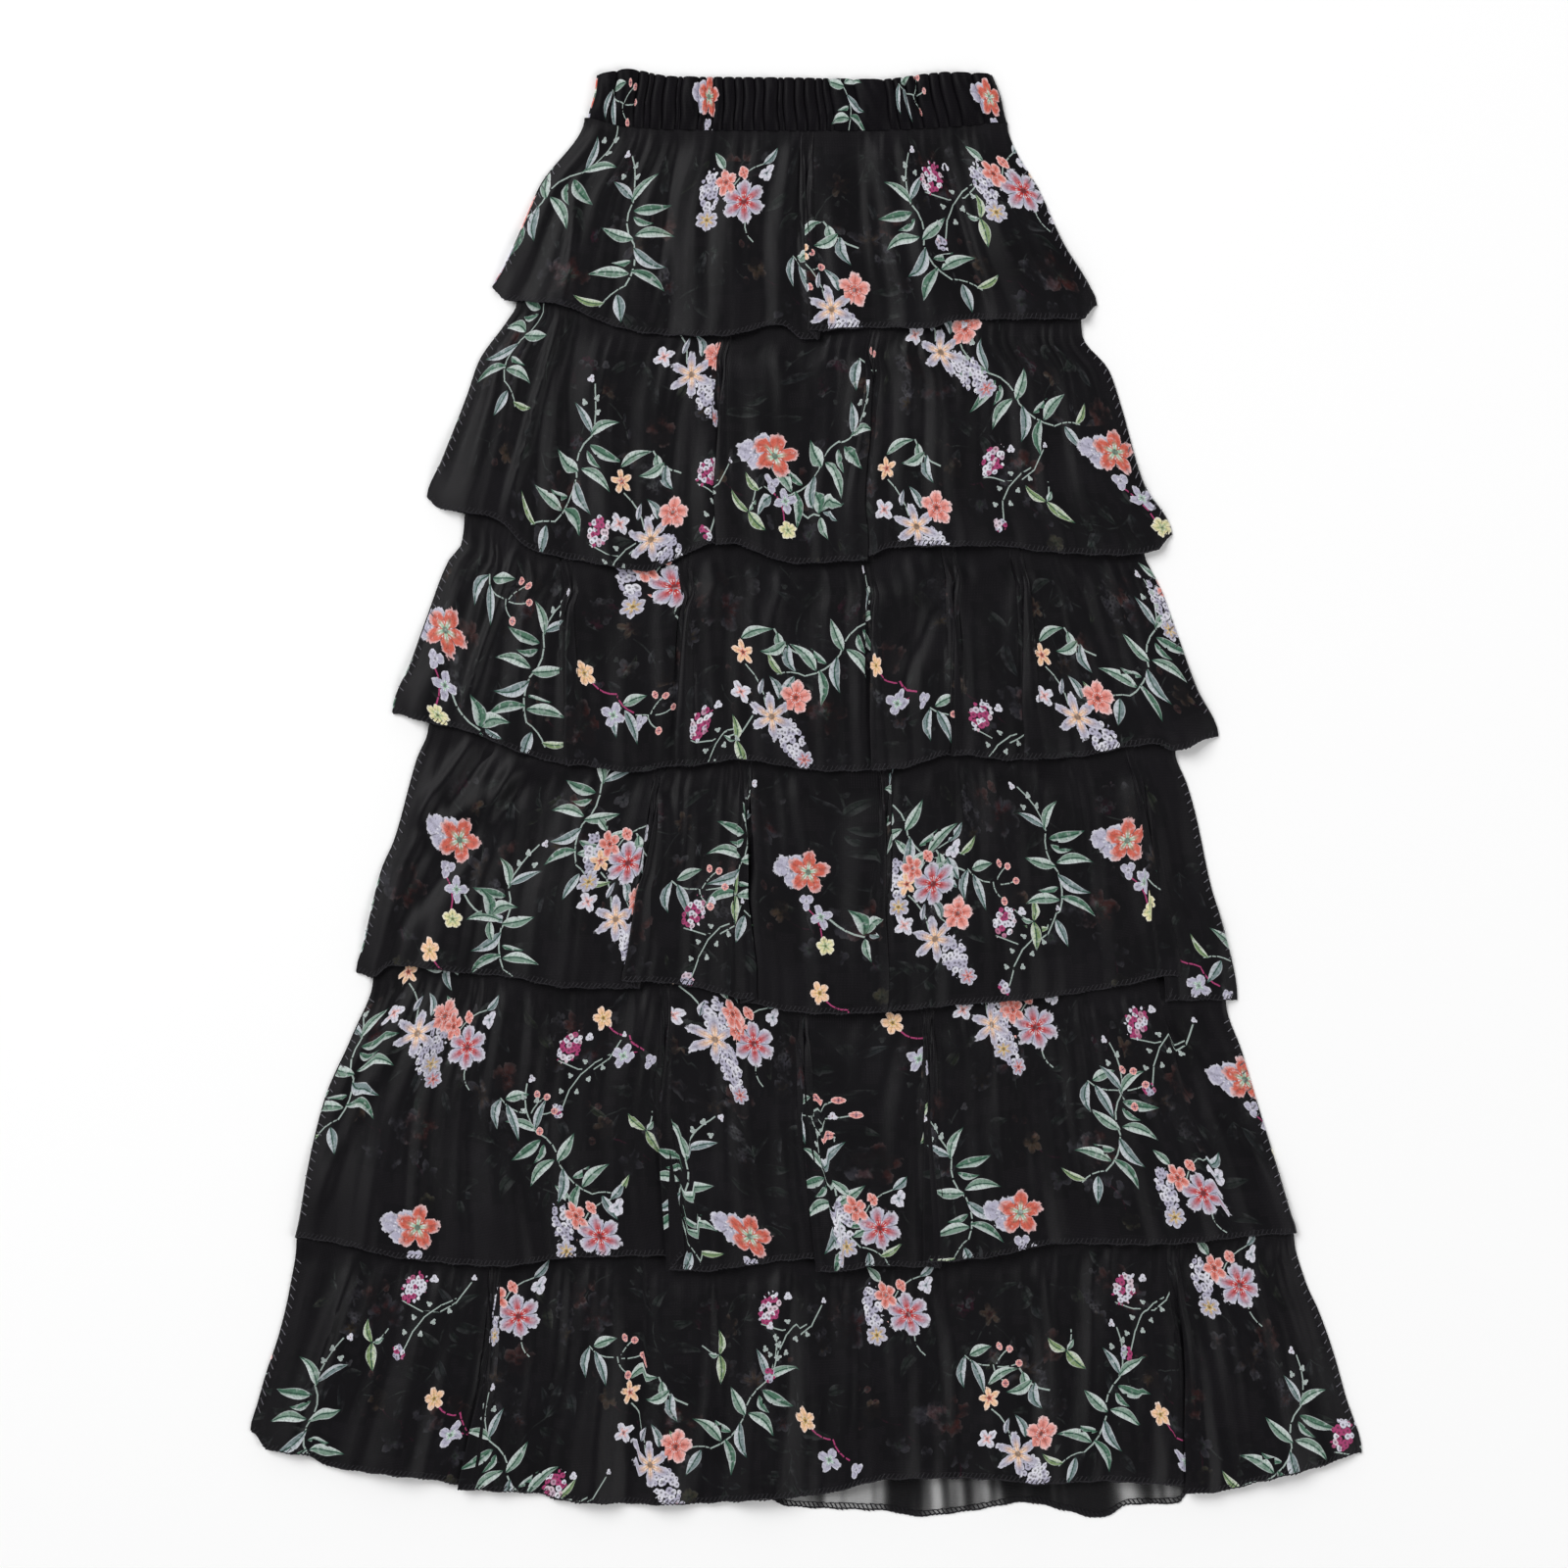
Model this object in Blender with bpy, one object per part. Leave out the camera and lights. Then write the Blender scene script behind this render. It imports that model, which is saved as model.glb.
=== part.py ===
"""Mesh skirt with a gathered elastic waist and six stacked ruffle tiers, laid flat, front up.

The skirt lies in the XY plane, waist towards +Y and hem towards -Y, and rests on z = 0.
Every tier is a tube pressed flat: a back panel on the floor and a front panel over it.
Tables are in millimetres, and the model is built in metres.
"""

from collections import namedtuple
from math import cos, pi, sin

import bmesh
import bpy

MM = 0.001

# Cloth layers, in millimetres.
WALL = 1.0
BAND_WALL = 2.0
SEAM_GAP = 0.3
LAYER = WALL + SEAM_GAP

# Height of each layer's underside where a tier's hem lies over the top of the next tier.
BACK_TOP_Z = LAYER
FRONT_BODY_Z = LAYER
FRONT_TOP_Z = 2 * LAYER
FRONT_HEM_Z = 3 * LAYER
BAND_FRONT_Z = BAND_WALL + SEAM_GAP

# How far a tier's top reaches up under the hem above it, and how far it is tapered there.
TUCKED_UP = 28.0
TUCKED_TAPER = 0.97
# A front panel climbs over the next tier's top between these distances above that top.
SHELF_START = 10.0
SHELF_END = 3.0
# A hem is followed by the tier below it at this clearance, looking this far sideways.
HEM_CLEARANCE = 1.0
HEM_REACH = 15.0
# The back hems stop this much short of the front hems.
BACK_HEM_LIFT = 2.0
# The back panel comes down from the hem above it over this length.
BACK_DROP = 7.0
# Widest column of a back panel. The first tier follows the band's seam more closely.
BACK_COLUMN = 30.0
FIRST_BACK_COLUMN = 9.0
BAND_BACK_COLUMNS = 40

# Waist gathers.
BAND_GATHERS = 34
BAND_COLUMNS_PER_GATHER = 3
BAND_GATHER_HEIGHT = 0.8
BAND_GATHER_DRIFT = 0.22

# Gathers along each tier's seam.
GATHER_PITCH = 37.0
COLUMNS_PER_GATHER = 4
GATHER_HEIGHT = 1.7

# A fold-over: three layers of cloth whose turns bulge by TURN beyond the lap.
FOLD_PITCH = 1.6
TURN = 0.8
STEP_SPREAD = 1.2
HEM_STEP = 1.6

CLOTH_COLOUR = (0.012, 0.011, 0.014, 1.0)
CLOTH_ROUGHNESS = 0.62

# The waistband from left to right: its top edge and its seam with the first tier.
BandRow = namedtuple("BandRow", "top_x top_y seam_x seam_y")
BAND_ROWS = [
    BandRow(-143, 497, -149, 467),
    BandRow(-124, 500, -131, 462),
    BandRow(-92, 495, -97, 459),
    BandRow(-4, 494, -3, 458),
    BandRow(50, 493, 52, 458.5),
    BandRow(99, 498, 104, 461),
    BandRow(127, 497, 137, 464),
]

# The folded sides of each tier, from its seam down to its hem corner.
SideRow = namedtuple("SideRow", "left_x left_y right_x right_y")
SIDES = {
    1: [SideRow(-152, 466, 138, 463), SideRow(-183, 420, 162, 413), SideRow(-199, 383, 177, 380),
        SideRow(-210, 360, 192, 356), SideRow(-216, 350, 200, 338)],
    2: [SideRow(-199, 346, 189, 326), SideRow(-206, 326, 190, 316), SideRow(-225, 299, 208, 293),
        SideRow(-233, 276, 216, 270), SideRow(-251, 230, 232, 215), SideRow(-261, 205, 252, 179)],
    3: [SideRow(-235, 192, 233, 166), SideRow(-237, 173, 236, 157), SideRow(-246, 161, 243, 144),
        SideRow(-260, 125, 253, 117), SideRow(-271, 94, 269, 73), SideRow(-285, 56, 284, 40)],
    4: [SideRow(-260, 51, 254, 20), SideRow(-268, 24, 262, 7), SideRow(-284, -33, 268, -14),
        SideRow(-292, -51, 279, -65), SideRow(-305, -104, 287, -91), SideRow(-310, -123, 297, -142)],
    5: [SideRow(-298, -128, 289, -147), SideRow(-313, -168, 300, -178), SideRow(-331, -209, 309, -208),
        SideRow(-343, -257, 326, -263), SideRow(-350, -298, 334, -290), SideRow(-352, -306, 338, -303)],
    6: [SideRow(-351, -309, 336, -310), SideRow(-356, -343, 344, -337), SideRow(-363, -373, 353, -357),
        SideRow(-372, -400, 363, -385), SideRow(-378, -421, 372, -417), SideRow(-383, -440, 383, -455)],
}

# The hems from left to right. A pair of rows 3 mm apart is the step where a fold laps over.
HemRow = namedtuple("HemRow", "x y")
HEMS = {
    1: [HemRow(-216, 350), HemRow(-209, 342), HemRow(-172, 338), HemRow(-135, 324),
        HemRow(-107, 318), HemRow(-57, 316), HemRow(-18, 324), HemRow(-1.5, 314),
        HemRow(1.5, 320), HemRow(50, 322), HemRow(84, 321), HemRow(103, 327),
        HemRow(123, 328), HemRow(191, 328), HemRow(200, 338)],
    2: [HemRow(-261, 205), HemRow(-256, 199), HemRow(-214, 190), HemRow(-190, 169),
        HemRow(-148, 160), HemRow(-111, 154), HemRow(-88, 163), HemRow(-63, 173),
        HemRow(-42, 167), HemRow(-4, 159), HemRow(41.5, 161), HemRow(44.5, 165),
        HemRow(64, 171), HemRow(138, 171), HemRow(157, 168), HemRow(218, 165),
        HemRow(243, 169), HemRow(252, 179)],
    3: [HemRow(-285, 56), HemRow(-263, 50), HemRow(-235, 44), HemRow(-194, 28),
        HemRow(-153, 18), HemRow(-126, 15), HemRow(-91, 20), HemRow(-54, 24),
        HemRow(17, 16), HemRow(56, 18), HemRow(99, 27), HemRow(134, 24),
        HemRow(181, 26), HemRow(243, 35), HemRow(253, 30), HemRow(284, 40)],
    4: [HemRow(-310, -123), HemRow(-300, -126), HemRow(-286, -118), HemRow(-239, -123),
        HemRow(-202, -126), HemRow(-166, -133), HemRow(-129.5, -134), HemRow(-126.5, -129),
        HemRow(-36, -140), HemRow(-29, -146), HemRow(8, -151), HemRow(38, -151),
        HemRow(106, -145), HemRow(166, -140), HemRow(242, -129), HemRow(257.5, -125),
        HemRow(260.5, -142), HemRow(297, -142)],
    5: [HemRow(-352, -306), HemRow(-317, -311), HemRow(-279, -320), HemRow(-211, -325),
        HemRow(-166, -320), HemRow(-98.5, -318), HemRow(-95.5, -328), HemRow(-78, -329),
        HemRow(-40, -325), HemRow(4.5, -320), HemRow(7.5, -329), HemRow(50, -325),
        HemRow(78.5, -326), HemRow(81.5, -322), HemRow(126, -319), HemRow(174, -310),
        HemRow(247, -310), HemRow(338, -303)],
    6: [HemRow(-383, -440), HemRow(-372, -452), HemRow(-342, -457), HemRow(-330, -464),
        HemRow(-278, -470), HemRow(-242.5, -476), HemRow(-239.5, -480), HemRow(-182, -483),
        HemRow(-170, -487), HemRow(-88, -490), HemRow(-34, -486), HemRow(11, -483),
        HemRow(60, -472), HemRow(130, -472), HemRow(162, -476), HemRow(208, -474),
        HemRow(258.5, -477), HemRow(261.5, -482), HemRow(310, -474), HemRow(357, -463),
        HemRow(383, -455)],
}

# The back of the last tier hangs lower than its front right of the middle.
LAST_BACK_HEM = [
    HemRow(-383, -440), HemRow(-342, -455), HemRow(-278, -468), HemRow(-182, -481),
    HemRow(-88, -488), HemRow(-34, -484), HemRow(-12, -492), HemRow(57, -495),
    HemRow(76, -499), HemRow(115, -495), HemRow(152, -489), HemRow(177, -494),
    HemRow(204, -500), HemRow(223, -491), HemRow(259, -490), HemRow(264, -480),
    HemRow(310, -472), HemRow(357, -461), HemRow(383, -455),
]

# The largest folds from left to right: where each starts at the seam and ends at the hem, its
# height at the hem, and the side whose cloth laps over. A lap of 0 is a ridge or a trough.
FoldRow = namedtuple("FoldRow", "seam_x hem_x height lap side")
FOLDS = {
    1: [FoldRow(-122, -165, 3.0, 0, ""), FoldRow(-88, -108, 0.0, 0, ""),
        FoldRow(-44, -56, 4.0, 0, ""), FoldRow(1, 0, 1.0, 10, "right"),
        FoldRow(36, 39, 0.5, 0, ""), FoldRow(62, 80, 4.0, 0, ""),
        FoldRow(90, 126, 0.0, 0, ""), FoldRow(115, 165, 3.0, 0, "")],
    2: [FoldRow(-180, -215, 4.0, 0, ""), FoldRow(-155, -162, 0.0, 0, ""),
        FoldRow(-130, -136, 5.0, 0, ""), FoldRow(-105, -111, 0.0, 0, ""),
        FoldRow(-56, -63, 1.5, 13, "right"), FoldRow(-5, -12, 5.5, 0, ""),
        FoldRow(48, 43, 1.5, 12, "left"), FoldRow(90, 105, 5.0, 0, ""),
        FoldRow(125, 150, 0.5, 0, ""), FoldRow(158, 197, 5.0, 0, "")],
    3: [FoldRow(-204, -226, 4.0, 0, ""), FoldRow(-166, -166, 1.0, 12, "right"),
        FoldRow(-84, -91, 1.5, 14, "right"), FoldRow(-27, -25, 5.5, 0, ""),
        FoldRow(8, 8, 0.0, 0, ""), FoldRow(42, 44, 1.5, 12, "right"),
        FoldRow(98, 99, 1.5, 12, "right"), FoldRow(145, 149, 1.0, 13, "right"),
        FoldRow(183, 216, 0.5, 0, ""), FoldRow(208, 250, 4.0, 0, "")],
    4: [FoldRow(-222, -262, 4.5, 0, ""), FoldRow(-186, -212, 0.5, 0, ""),
        FoldRow(-146, -170, 5.5, 0, ""), FoldRow(-101, -128, 1.5, 14, "right"),
        FoldRow(-42, -33, 1.5, 13, "left"), FoldRow(10, 20, 4.0, 0, ""),
        FoldRow(55, 57, 1.5, 14, "left"), FoldRow(82, 86, 4.5, 0, ""),
        FoldRow(104, 108, 0.5, 0, ""), FoldRow(132, 148, 5.0, 0, ""),
        FoldRow(160, 182, 0.0, 0, ""), FoldRow(225, 259, 1.0, 12, "left")],
    5: [FoldRow(-255, -295, 4.5, 0, ""), FoldRow(-232, -254, 0.5, 0, ""),
        FoldRow(-208, -209, 6.0, 0, ""), FoldRow(-150, -152, 0.5, 0, ""),
        FoldRow(-97, -97, 1.5, 14, "right"), FoldRow(-62, -60, 5.0, 0, ""),
        FoldRow(-36, -32, 0.5, 0, ""), FoldRow(-4, 6, 1.5, 14, "right"),
        FoldRow(42, 44, 5.5, 0, ""), FoldRow(84, 80, 1.5, 14, "right"),
        FoldRow(124, 132, 5.5, 0, ""), FoldRow(165, 186, 0.5, 0, ""),
        FoldRow(200, 236, 6.0, 0, ""), FoldRow(245, 296, 0.5, 0, "")],
    6: [FoldRow(-322, -360, 4.0, 0, ""), FoldRow(-300, -338, 0.5, 0, ""),
        FoldRow(-256, -284, 7.0, 0, ""), FoldRow(-215, -241, 1.5, 13, "right"),
        FoldRow(-166, -180, 0.5, 0, ""), FoldRow(-140, -148, 7.0, 0, ""),
        FoldRow(-115, -122, 1.0, 0, ""), FoldRow(-92, -97, 6.5, 0, ""),
        FoldRow(-68, -78, 0.5, 0, ""), FoldRow(-26, -25, 8.0, 0, ""),
        FoldRow(12, 14, 1.0, 0, ""), FoldRow(48, 52, 7.0, 0, ""),
        FoldRow(88, 95, 0.5, 0, ""), FoldRow(140, 145, 8.0, 0, ""),
        FoldRow(195, 196, 0.5, 0, ""), FoldRow(225, 228, 6.0, 0, ""),
        FoldRow(254, 260, 1.5, 13, "right"), FoldRow(300, 325, 5.0, 0, "")],
}

# A front panel from its seam to its hem. down is the share of its height, fixed is added to
# it in millimetres, and over is the distance above the next tier's top, used instead of them.
# rise scales the folds, gather the seam gathers, and level and lapped the fold-overs.
Course = namedtuple("Course", "down fixed over z rise level lapped gather")
HIDDEN_COURSE = Course(0, -TUCKED_UP, 0, FRONT_TOP_Z, 0.0, 0.0, 0.0, 0.0)
EMERGING_COURSE = Course(0, 8.0, 0, FRONT_TOP_Z, 0.0, 0.0, 0.0, 0.0)
BAND_COURSE = Course(0, 0.0, 0, BAND_FRONT_Z, 0.0, 0.0, 0.0, 0.4)
GATHERED_COURSE = Course(0, 18.0, 0, FRONT_BODY_Z, 0.35, 1.0, 0.0, 1.0)
UPPER_COURSE = Course(0.42, 0.0, 0, FRONT_BODY_Z, 0.6, 1.0, 0.55, 0.35)
SHELF_COURSE = Course(0, 0.0, SHELF_START, FRONT_BODY_Z, 0.85, 1.0, 0.9, 0.0)
LAP_COURSE = Course(0, 0.0, SHELF_END, FRONT_HEM_Z, 0.85, 1.0, 0.9, 0.0)
HEM_COURSE = Course(1, 0.0, 0, FRONT_HEM_Z, 1.0, 1.0, 1.0, 0.0)
LAST_HEM_COURSE = Course(1, 0.0, 0, FRONT_BODY_Z, 1.0, 1.0, 1.0, 0.0)

# One line of points down a panel: its place across at the seam and at the hem, the height of
# its fold and its share of a seam gather. On a fold-over, nudge picks the side of the hem's
# step, shift and bulge move it sideways in millimetres and turns, level is its layer, and
# order its place from the lower cloth to the upper.
Station = namedtuple("Station", "seam_u hem_u height gather nudge shift bulge level order")

# Nudge, shift, bulge, level and order of each line in a fold-over that laps from the right.
LAP_STATIONS = [
    (-1, 1, 0, 0, -3), (-1, 1, 1, 0.5, -2), (-1, 1, 0, 1, -1), (0, 0, 0, 1, 0),
    (1, 0, -1, 1.5, 1), (1, 0, 0, 2, 2), (1, 1, 1, 2, 3),
]


def flowing(knots, x):
    """Value at x of a curve through (x, y) knots that never overshoots them."""
    if x <= knots[0][0]:
        return knots[0][1]
    if x >= knots[-1][0]:
        return knots[-1][1]
    i = max(k for k in range(len(knots) - 1) if knots[k][0] <= x)
    slopes = []
    for k in (i - 1, i, i + 1):
        if 0 <= k < len(knots) - 1:
            run = knots[k + 1][0] - knots[k][0]
            slopes.append((knots[k + 1][1] - knots[k][1]) / run)
        else:
            slopes.append(0.0)
    before, here, after = slopes
    start = 2 * before * here / (before + here) if before * here > 0 else 0.0
    end = 2 * here * after / (here + after) if here * after > 0 else 0.0
    run = knots[i + 1][0] - knots[i][0]
    t = (x - knots[i][0]) / run
    return (knots[i][1] * (1 + 2 * t) * (1 - t) ** 2 + start * run * t * (1 - t) ** 2
            + knots[i + 1][1] * (3 - 2 * t) * t * t + end * run * (t - 1) * t * t)


def mix(a, b, t):
    return a + (b - a) * t


def seam_y(tier, x):
    """Where the tier comes out: at the band's seam, or just below the hem above it."""
    if tier == 1:
        return flowing([(row.seam_x, row.seam_y) for row in BAND_ROWS], x) - SEAM_GAP
    nearby = [x + HEM_REACH * k / 4 for k in range(-4, 5)]
    return min(flowing(HEMS[tier - 1], near) for near in nearby) - HEM_CLEARANCE


class Panel:
    """The flat outline of one tier's front or back, as a patch between its four edges."""

    def __init__(self, tier, hem):
        self.tier = tier
        self.hem = hem
        rows = SIDES[tier]
        self.top_left = (rows[0].left_x, seam_y(tier, rows[0].left_x))
        self.top_right = (rows[0].right_x, seam_y(tier, rows[0].right_x))
        self.left = self.side([(row.left_y, row.left_x) for row in rows], self.top_left)
        self.right = self.side([(row.right_y, row.right_x) for row in rows], self.top_right)

    def side(self, knots, top):
        """Knots of x against y, upwards, with the first row moved to the seam."""
        lower = [knot for knot in knots[1:] if knot[0] < top[1] - 1.0]
        return sorted(lower + [(top[1], top[0])])

    def edge(self, knots, v):
        y = mix(knots[-1][0], knots[0][0], v)
        return flowing(knots, y), y

    def seam(self, u):
        x = mix(self.top_left[0], self.top_right[0], u)
        return x, seam_y(self.tier, x)

    def bottom(self, u):
        x = mix(self.hem[0].x, self.hem[-1].x, u)
        return x, flowing(self.hem, x)

    def height(self, u):
        return self.seam(u)[1] - self.bottom(u)[1]

    def point(self, u, v):
        """Point of the patch, u from the left side to the right and v from seam to hem."""
        corners = (self.seam(0), self.seam(1), self.bottom(0), self.bottom(1))
        result = []
        for axis in (0, 1):
            ruled = mix(self.seam(u)[axis], self.bottom(u)[axis], v)
            sides = mix(self.edge(self.left, v)[axis], self.edge(self.right, v)[axis], u)
            flat = mix(mix(corners[0][axis], corners[1][axis], u),
                       mix(corners[2][axis], corners[3][axis], u), v)
            result.append(ruled + sides - flat)
        return result[0], result[1]


def fold_stations(panel, tier):
    """Every line of points across a front panel, from its left side to its right."""
    seam_width = panel.top_right[0] - panel.top_left[0]
    hem_width = panel.hem[-1].x - panel.hem[0].x
    paths = [(0.0, 0.0, FoldRow(0, 0, 0.0, 0, ""))]
    for fold in FOLDS[tier]:
        paths.append(((fold.seam_x - panel.top_left[0]) / seam_width,
                      (fold.hem_x - panel.hem[0].x) / hem_width, fold))
    paths.append((1.0, 1.0, FoldRow(0, 0, 0.0, 0, "")))

    stations = [Station(0.0, 0.0, 0.0, 0.0, 0, 0.0, 0, 0.0, 0)]
    for (seam_a, hem_a, fold_a), (seam_b, hem_b, fold_b) in zip(paths, paths[1:]):
        gathers = max(1, round((seam_b - seam_a) * seam_width / GATHER_PITCH))
        columns = gathers * COLUMNS_PER_GATHER
        clear_a = fold_a.lap + TURN if fold_a.side == "right" else 0.0
        clear_b = -fold_b.lap - TURN if fold_b.side == "left" else 0.0
        for k in range(1, columns):
            t = k / columns
            blend = 0.5 - 0.5 * cos(pi * t)
            stations.append(Station(
                mix(seam_a, seam_b, t), mix(hem_a, hem_b, t), mix(fold_a.height, fold_b.height, blend),
                0.5 - 0.5 * cos(2 * pi * gathers * t), 0, mix(clear_a, clear_b, t), 0, 0.0, 0))
        stations.extend(stations_on_fold(seam_b, hem_b, fold_b))
    return stations


def stations_on_fold(seam_u, hem_u, fold):
    """A single line on a ridge or trough, and the turns of a three-layer fold-over."""
    if not fold.lap:
        return [Station(seam_u, hem_u, fold.height, 0.0, 0, 0.0, 0, 0.0, 0)]
    mirror = 1 if fold.side == "right" else -1
    lines = []
    for nudge, shift, bulge, level, order in LAP_STATIONS[::mirror]:
        lines.append(Station(seam_u, hem_u, fold.height, 0.0, mirror * nudge,
                             mirror * shift * fold.lap, mirror * bulge, level, mirror * order))
    return lines


def share_above_next(panel, station, distance):
    """Share of the panel's height where it passes this far above the next tier's top."""
    above, below = 0.0, 1.0
    for _ in range(14):
        v = (above + below) / 2
        x, y = panel.point(mix(station.seam_u, station.hem_u, v), v)
        if y > seam_y(panel.tier + 1, x) + TUCKED_UP + distance:
            above = v
        else:
            below = v
    return above


def front_grid(tier):
    """Middle of the cloth of a front panel, in millimetres, one row of points a course."""
    panel = Panel(tier, HEMS[tier])
    stations = fold_stations(panel, tier)
    top = [BAND_COURSE] if tier == 1 else [HIDDEN_COURSE, EMERGING_COURSE]
    middle = [GATHERED_COURSE, UPPER_COURSE]
    ending = [LAST_HEM_COURSE] if tier == 6 else [SHELF_COURSE, LAP_COURSE, HEM_COURSE]
    grid = []
    for course in top + middle + ending:
        row = []
        for station in stations:
            if course.over:
                v = share_above_next(panel, station, course.over)
            else:
                v = course.down + course.fixed / panel.height(station.seam_u)
            inside = min(max(v, 0.0), 1.0)
            u = mix(station.seam_u, station.hem_u, inside)
            u += station.nudge * HEM_STEP / (panel.hem[-1].x - panel.hem[0].x)
            x, y = panel.point(u, inside)
            if v < 0:
                x *= TUCKED_TAPER
                y += TUCKED_UP
            x += mix(station.order * STEP_SPREAD, station.shift + station.bulge * TURN,
                     course.lapped)
            z = (course.z + WALL / 2 + station.height * course.rise
                 + station.level * FOLD_PITCH * course.level
                 + station.gather * GATHER_HEIGHT * course.gather)
            row.append((x, y, z))
        grid.append(row)
    return grid


def back_grid(tier):
    """Underside of a back panel: flat on the floor, with its top over the hem above it."""
    hem = LAST_BACK_HEM if tier == 6 else [
        HemRow(row.x, row.y + BACK_HEM_LIFT) for row in HEMS[tier]]
    panel = Panel(tier, hem)
    widest = FIRST_BACK_COLUMN if tier == 1 else BACK_COLUMN
    places = [0.0]
    for row in hem[1:]:
        place = (row.x - hem[0].x) / (hem[-1].x - hem[0].x)
        start = places[-1]
        pieces = max(1, round((place - start) * (hem[-1].x - hem[0].x) / widest))
        places.extend(mix(start, place, (k + 1) / pieces) for k in range(pieces))
    if tier == 1:
        courses = [(0, 0.0, 0.0), (0.33, 0.0, 0.0), (0.67, 0.0, 0.0), (1, 0.0, 0.0)]
    else:
        courses = [(0, -TUCKED_UP, BACK_TOP_Z), (0, 0.5, BACK_TOP_Z), (0, BACK_DROP, 0.0),
                   (0.35, 0.0, 0.0), (0.7, 0.0, 0.0), (1, 0.0, 0.0)]
    grid = []
    for down, fixed, z in courses:
        row = []
        for u in places:
            v = down + fixed / panel.height(u)
            x, y = panel.point(u, min(max(v, 0.0), 1.0))
            if v < 0:
                x *= TUCKED_TAPER
                y += TUCKED_UP
            row.append((x, y, z))
        grid.append(row)
    return grid


def band_grid(gathered):
    """The waistband's middle surface in front, or its flat underside at the back."""
    tops = [(row.top_x, row.top_y) for row in BAND_ROWS]
    seams = [(row.seam_x, row.seam_y) for row in BAND_ROWS]
    columns = BAND_GATHERS * BAND_COLUMNS_PER_GATHER if gathered else BAND_BACK_COLUMNS
    grid = []
    for down, strength in ((0.0, 0.6), (0.5, 1.0), (1.0, 0.8)):
        row = []
        for k in range(columns + 1):
            u = k / columns
            u += BAND_GATHER_DRIFT / BAND_GATHERS * sin(2 * pi * 5 * u)
            top_x = mix(tops[0][0], tops[-1][0], u)
            seam_x = mix(seams[0][0], seams[-1][0], u)
            x = mix(top_x, seam_x, down)
            y = mix(flowing(tops, top_x), flowing(seams, seam_x), down)
            z = 0.0
            if gathered:
                wave = 0.5 - 0.5 * cos(2 * pi * k / BAND_COLUMNS_PER_GATHER)
                z = BAND_FRONT_Z + BAND_WALL / 2 + BAND_GATHER_HEIGHT * strength * wave
            row.append((x, y, z))
        grid.append(row)
    return grid


def cloth_material(name):
    material = bpy.data.materials.new(name)
    material.use_nodes = True
    shader = material.node_tree.nodes["Principled BSDF"]
    shader.inputs["Base Color"].default_value = CLOTH_COLOUR
    shader.inputs["Roughness"].default_value = CLOTH_ROUGHNESS
    shader.inputs["Metallic"].default_value = 0.0
    return material


def cloth_piece(name, grid, wall, offset):
    """A sheet over the grid's points, thickened into one closed wall."""
    bm = bmesh.new()
    rows = [[bm.verts.new((x * MM, y * MM, z * MM)) for x, y, z in line] for line in grid]
    for upper, lower in zip(rows, rows[1:]):
        for k in range(len(upper) - 1):
            bm.faces.new((upper[k], lower[k], lower[k + 1], upper[k + 1]))
    mesh = bpy.data.meshes.new(name)
    bm.to_mesh(mesh)
    bm.free()
    mesh.shade_smooth()
    mesh.set_sharp_from_angle(angle=pi / 3)
    piece = bpy.data.objects.new(name, mesh)
    bpy.context.scene.collection.objects.link(piece)
    mesh.materials.append(cloth_material(name + "_cloth"))
    thicken = piece.modifiers.new("Wall", "SOLIDIFY")
    thicken.thickness = wall * MM
    thicken.offset = offset
    thicken.use_even_offset = True
    return piece


def main():
    for old in list(bpy.data.objects):
        bpy.data.objects.remove(old, do_unlink=True)
    cloth_piece("waistband_back", band_grid(gathered=False), BAND_WALL, 1.0)
    cloth_piece("waistband_front", band_grid(gathered=True), BAND_WALL, 0.0)
    for tier in sorted(HEMS):
        cloth_piece(f"tier_{tier}_back", back_grid(tier), WALL, 1.0)
        cloth_piece(f"tier_{tier}_front", front_grid(tier), WALL, 0.0)


main()
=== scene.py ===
"""Sheer black mesh skirt, laid flat: a gathered waistband over six printed ruffle tiers.

Every tier is one tube of thin cloth pressed flat, with its gathers, its folds and the print
in the cloth's own coordinates. Tables are in millimetres, and the model is in metres.
"""

from collections import namedtuple
from math import pi, radians

import bpy
import numpy as np
from bpy.props import FloatProperty, FloatVectorProperty, PointerProperty
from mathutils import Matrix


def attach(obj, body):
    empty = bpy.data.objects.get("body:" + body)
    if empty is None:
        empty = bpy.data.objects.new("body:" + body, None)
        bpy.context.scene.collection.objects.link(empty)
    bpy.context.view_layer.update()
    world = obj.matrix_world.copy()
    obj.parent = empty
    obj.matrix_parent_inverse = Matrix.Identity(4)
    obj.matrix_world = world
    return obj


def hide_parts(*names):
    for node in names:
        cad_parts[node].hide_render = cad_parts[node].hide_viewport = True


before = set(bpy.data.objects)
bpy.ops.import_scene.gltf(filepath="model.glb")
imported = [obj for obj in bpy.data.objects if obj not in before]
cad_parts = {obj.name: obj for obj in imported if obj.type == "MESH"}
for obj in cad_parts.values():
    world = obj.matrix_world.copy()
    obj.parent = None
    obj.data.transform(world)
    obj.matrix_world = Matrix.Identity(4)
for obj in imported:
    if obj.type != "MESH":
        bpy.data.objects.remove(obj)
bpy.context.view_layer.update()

bl_info = {
    "name": "Tiered Mesh Skirt",
    "version": (1, 0, 0),
    "blender": (4, 5, 0),
    "location": "View3D > Sidebar > Skirt",
    "description": "Builds a flat-laid printed mesh skirt with ruffle tiers over its solids",
    "category": "Add Mesh",
}

MM = 0.001
TIERS = (1, 2, 3, 4, 5, 6)

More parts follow.
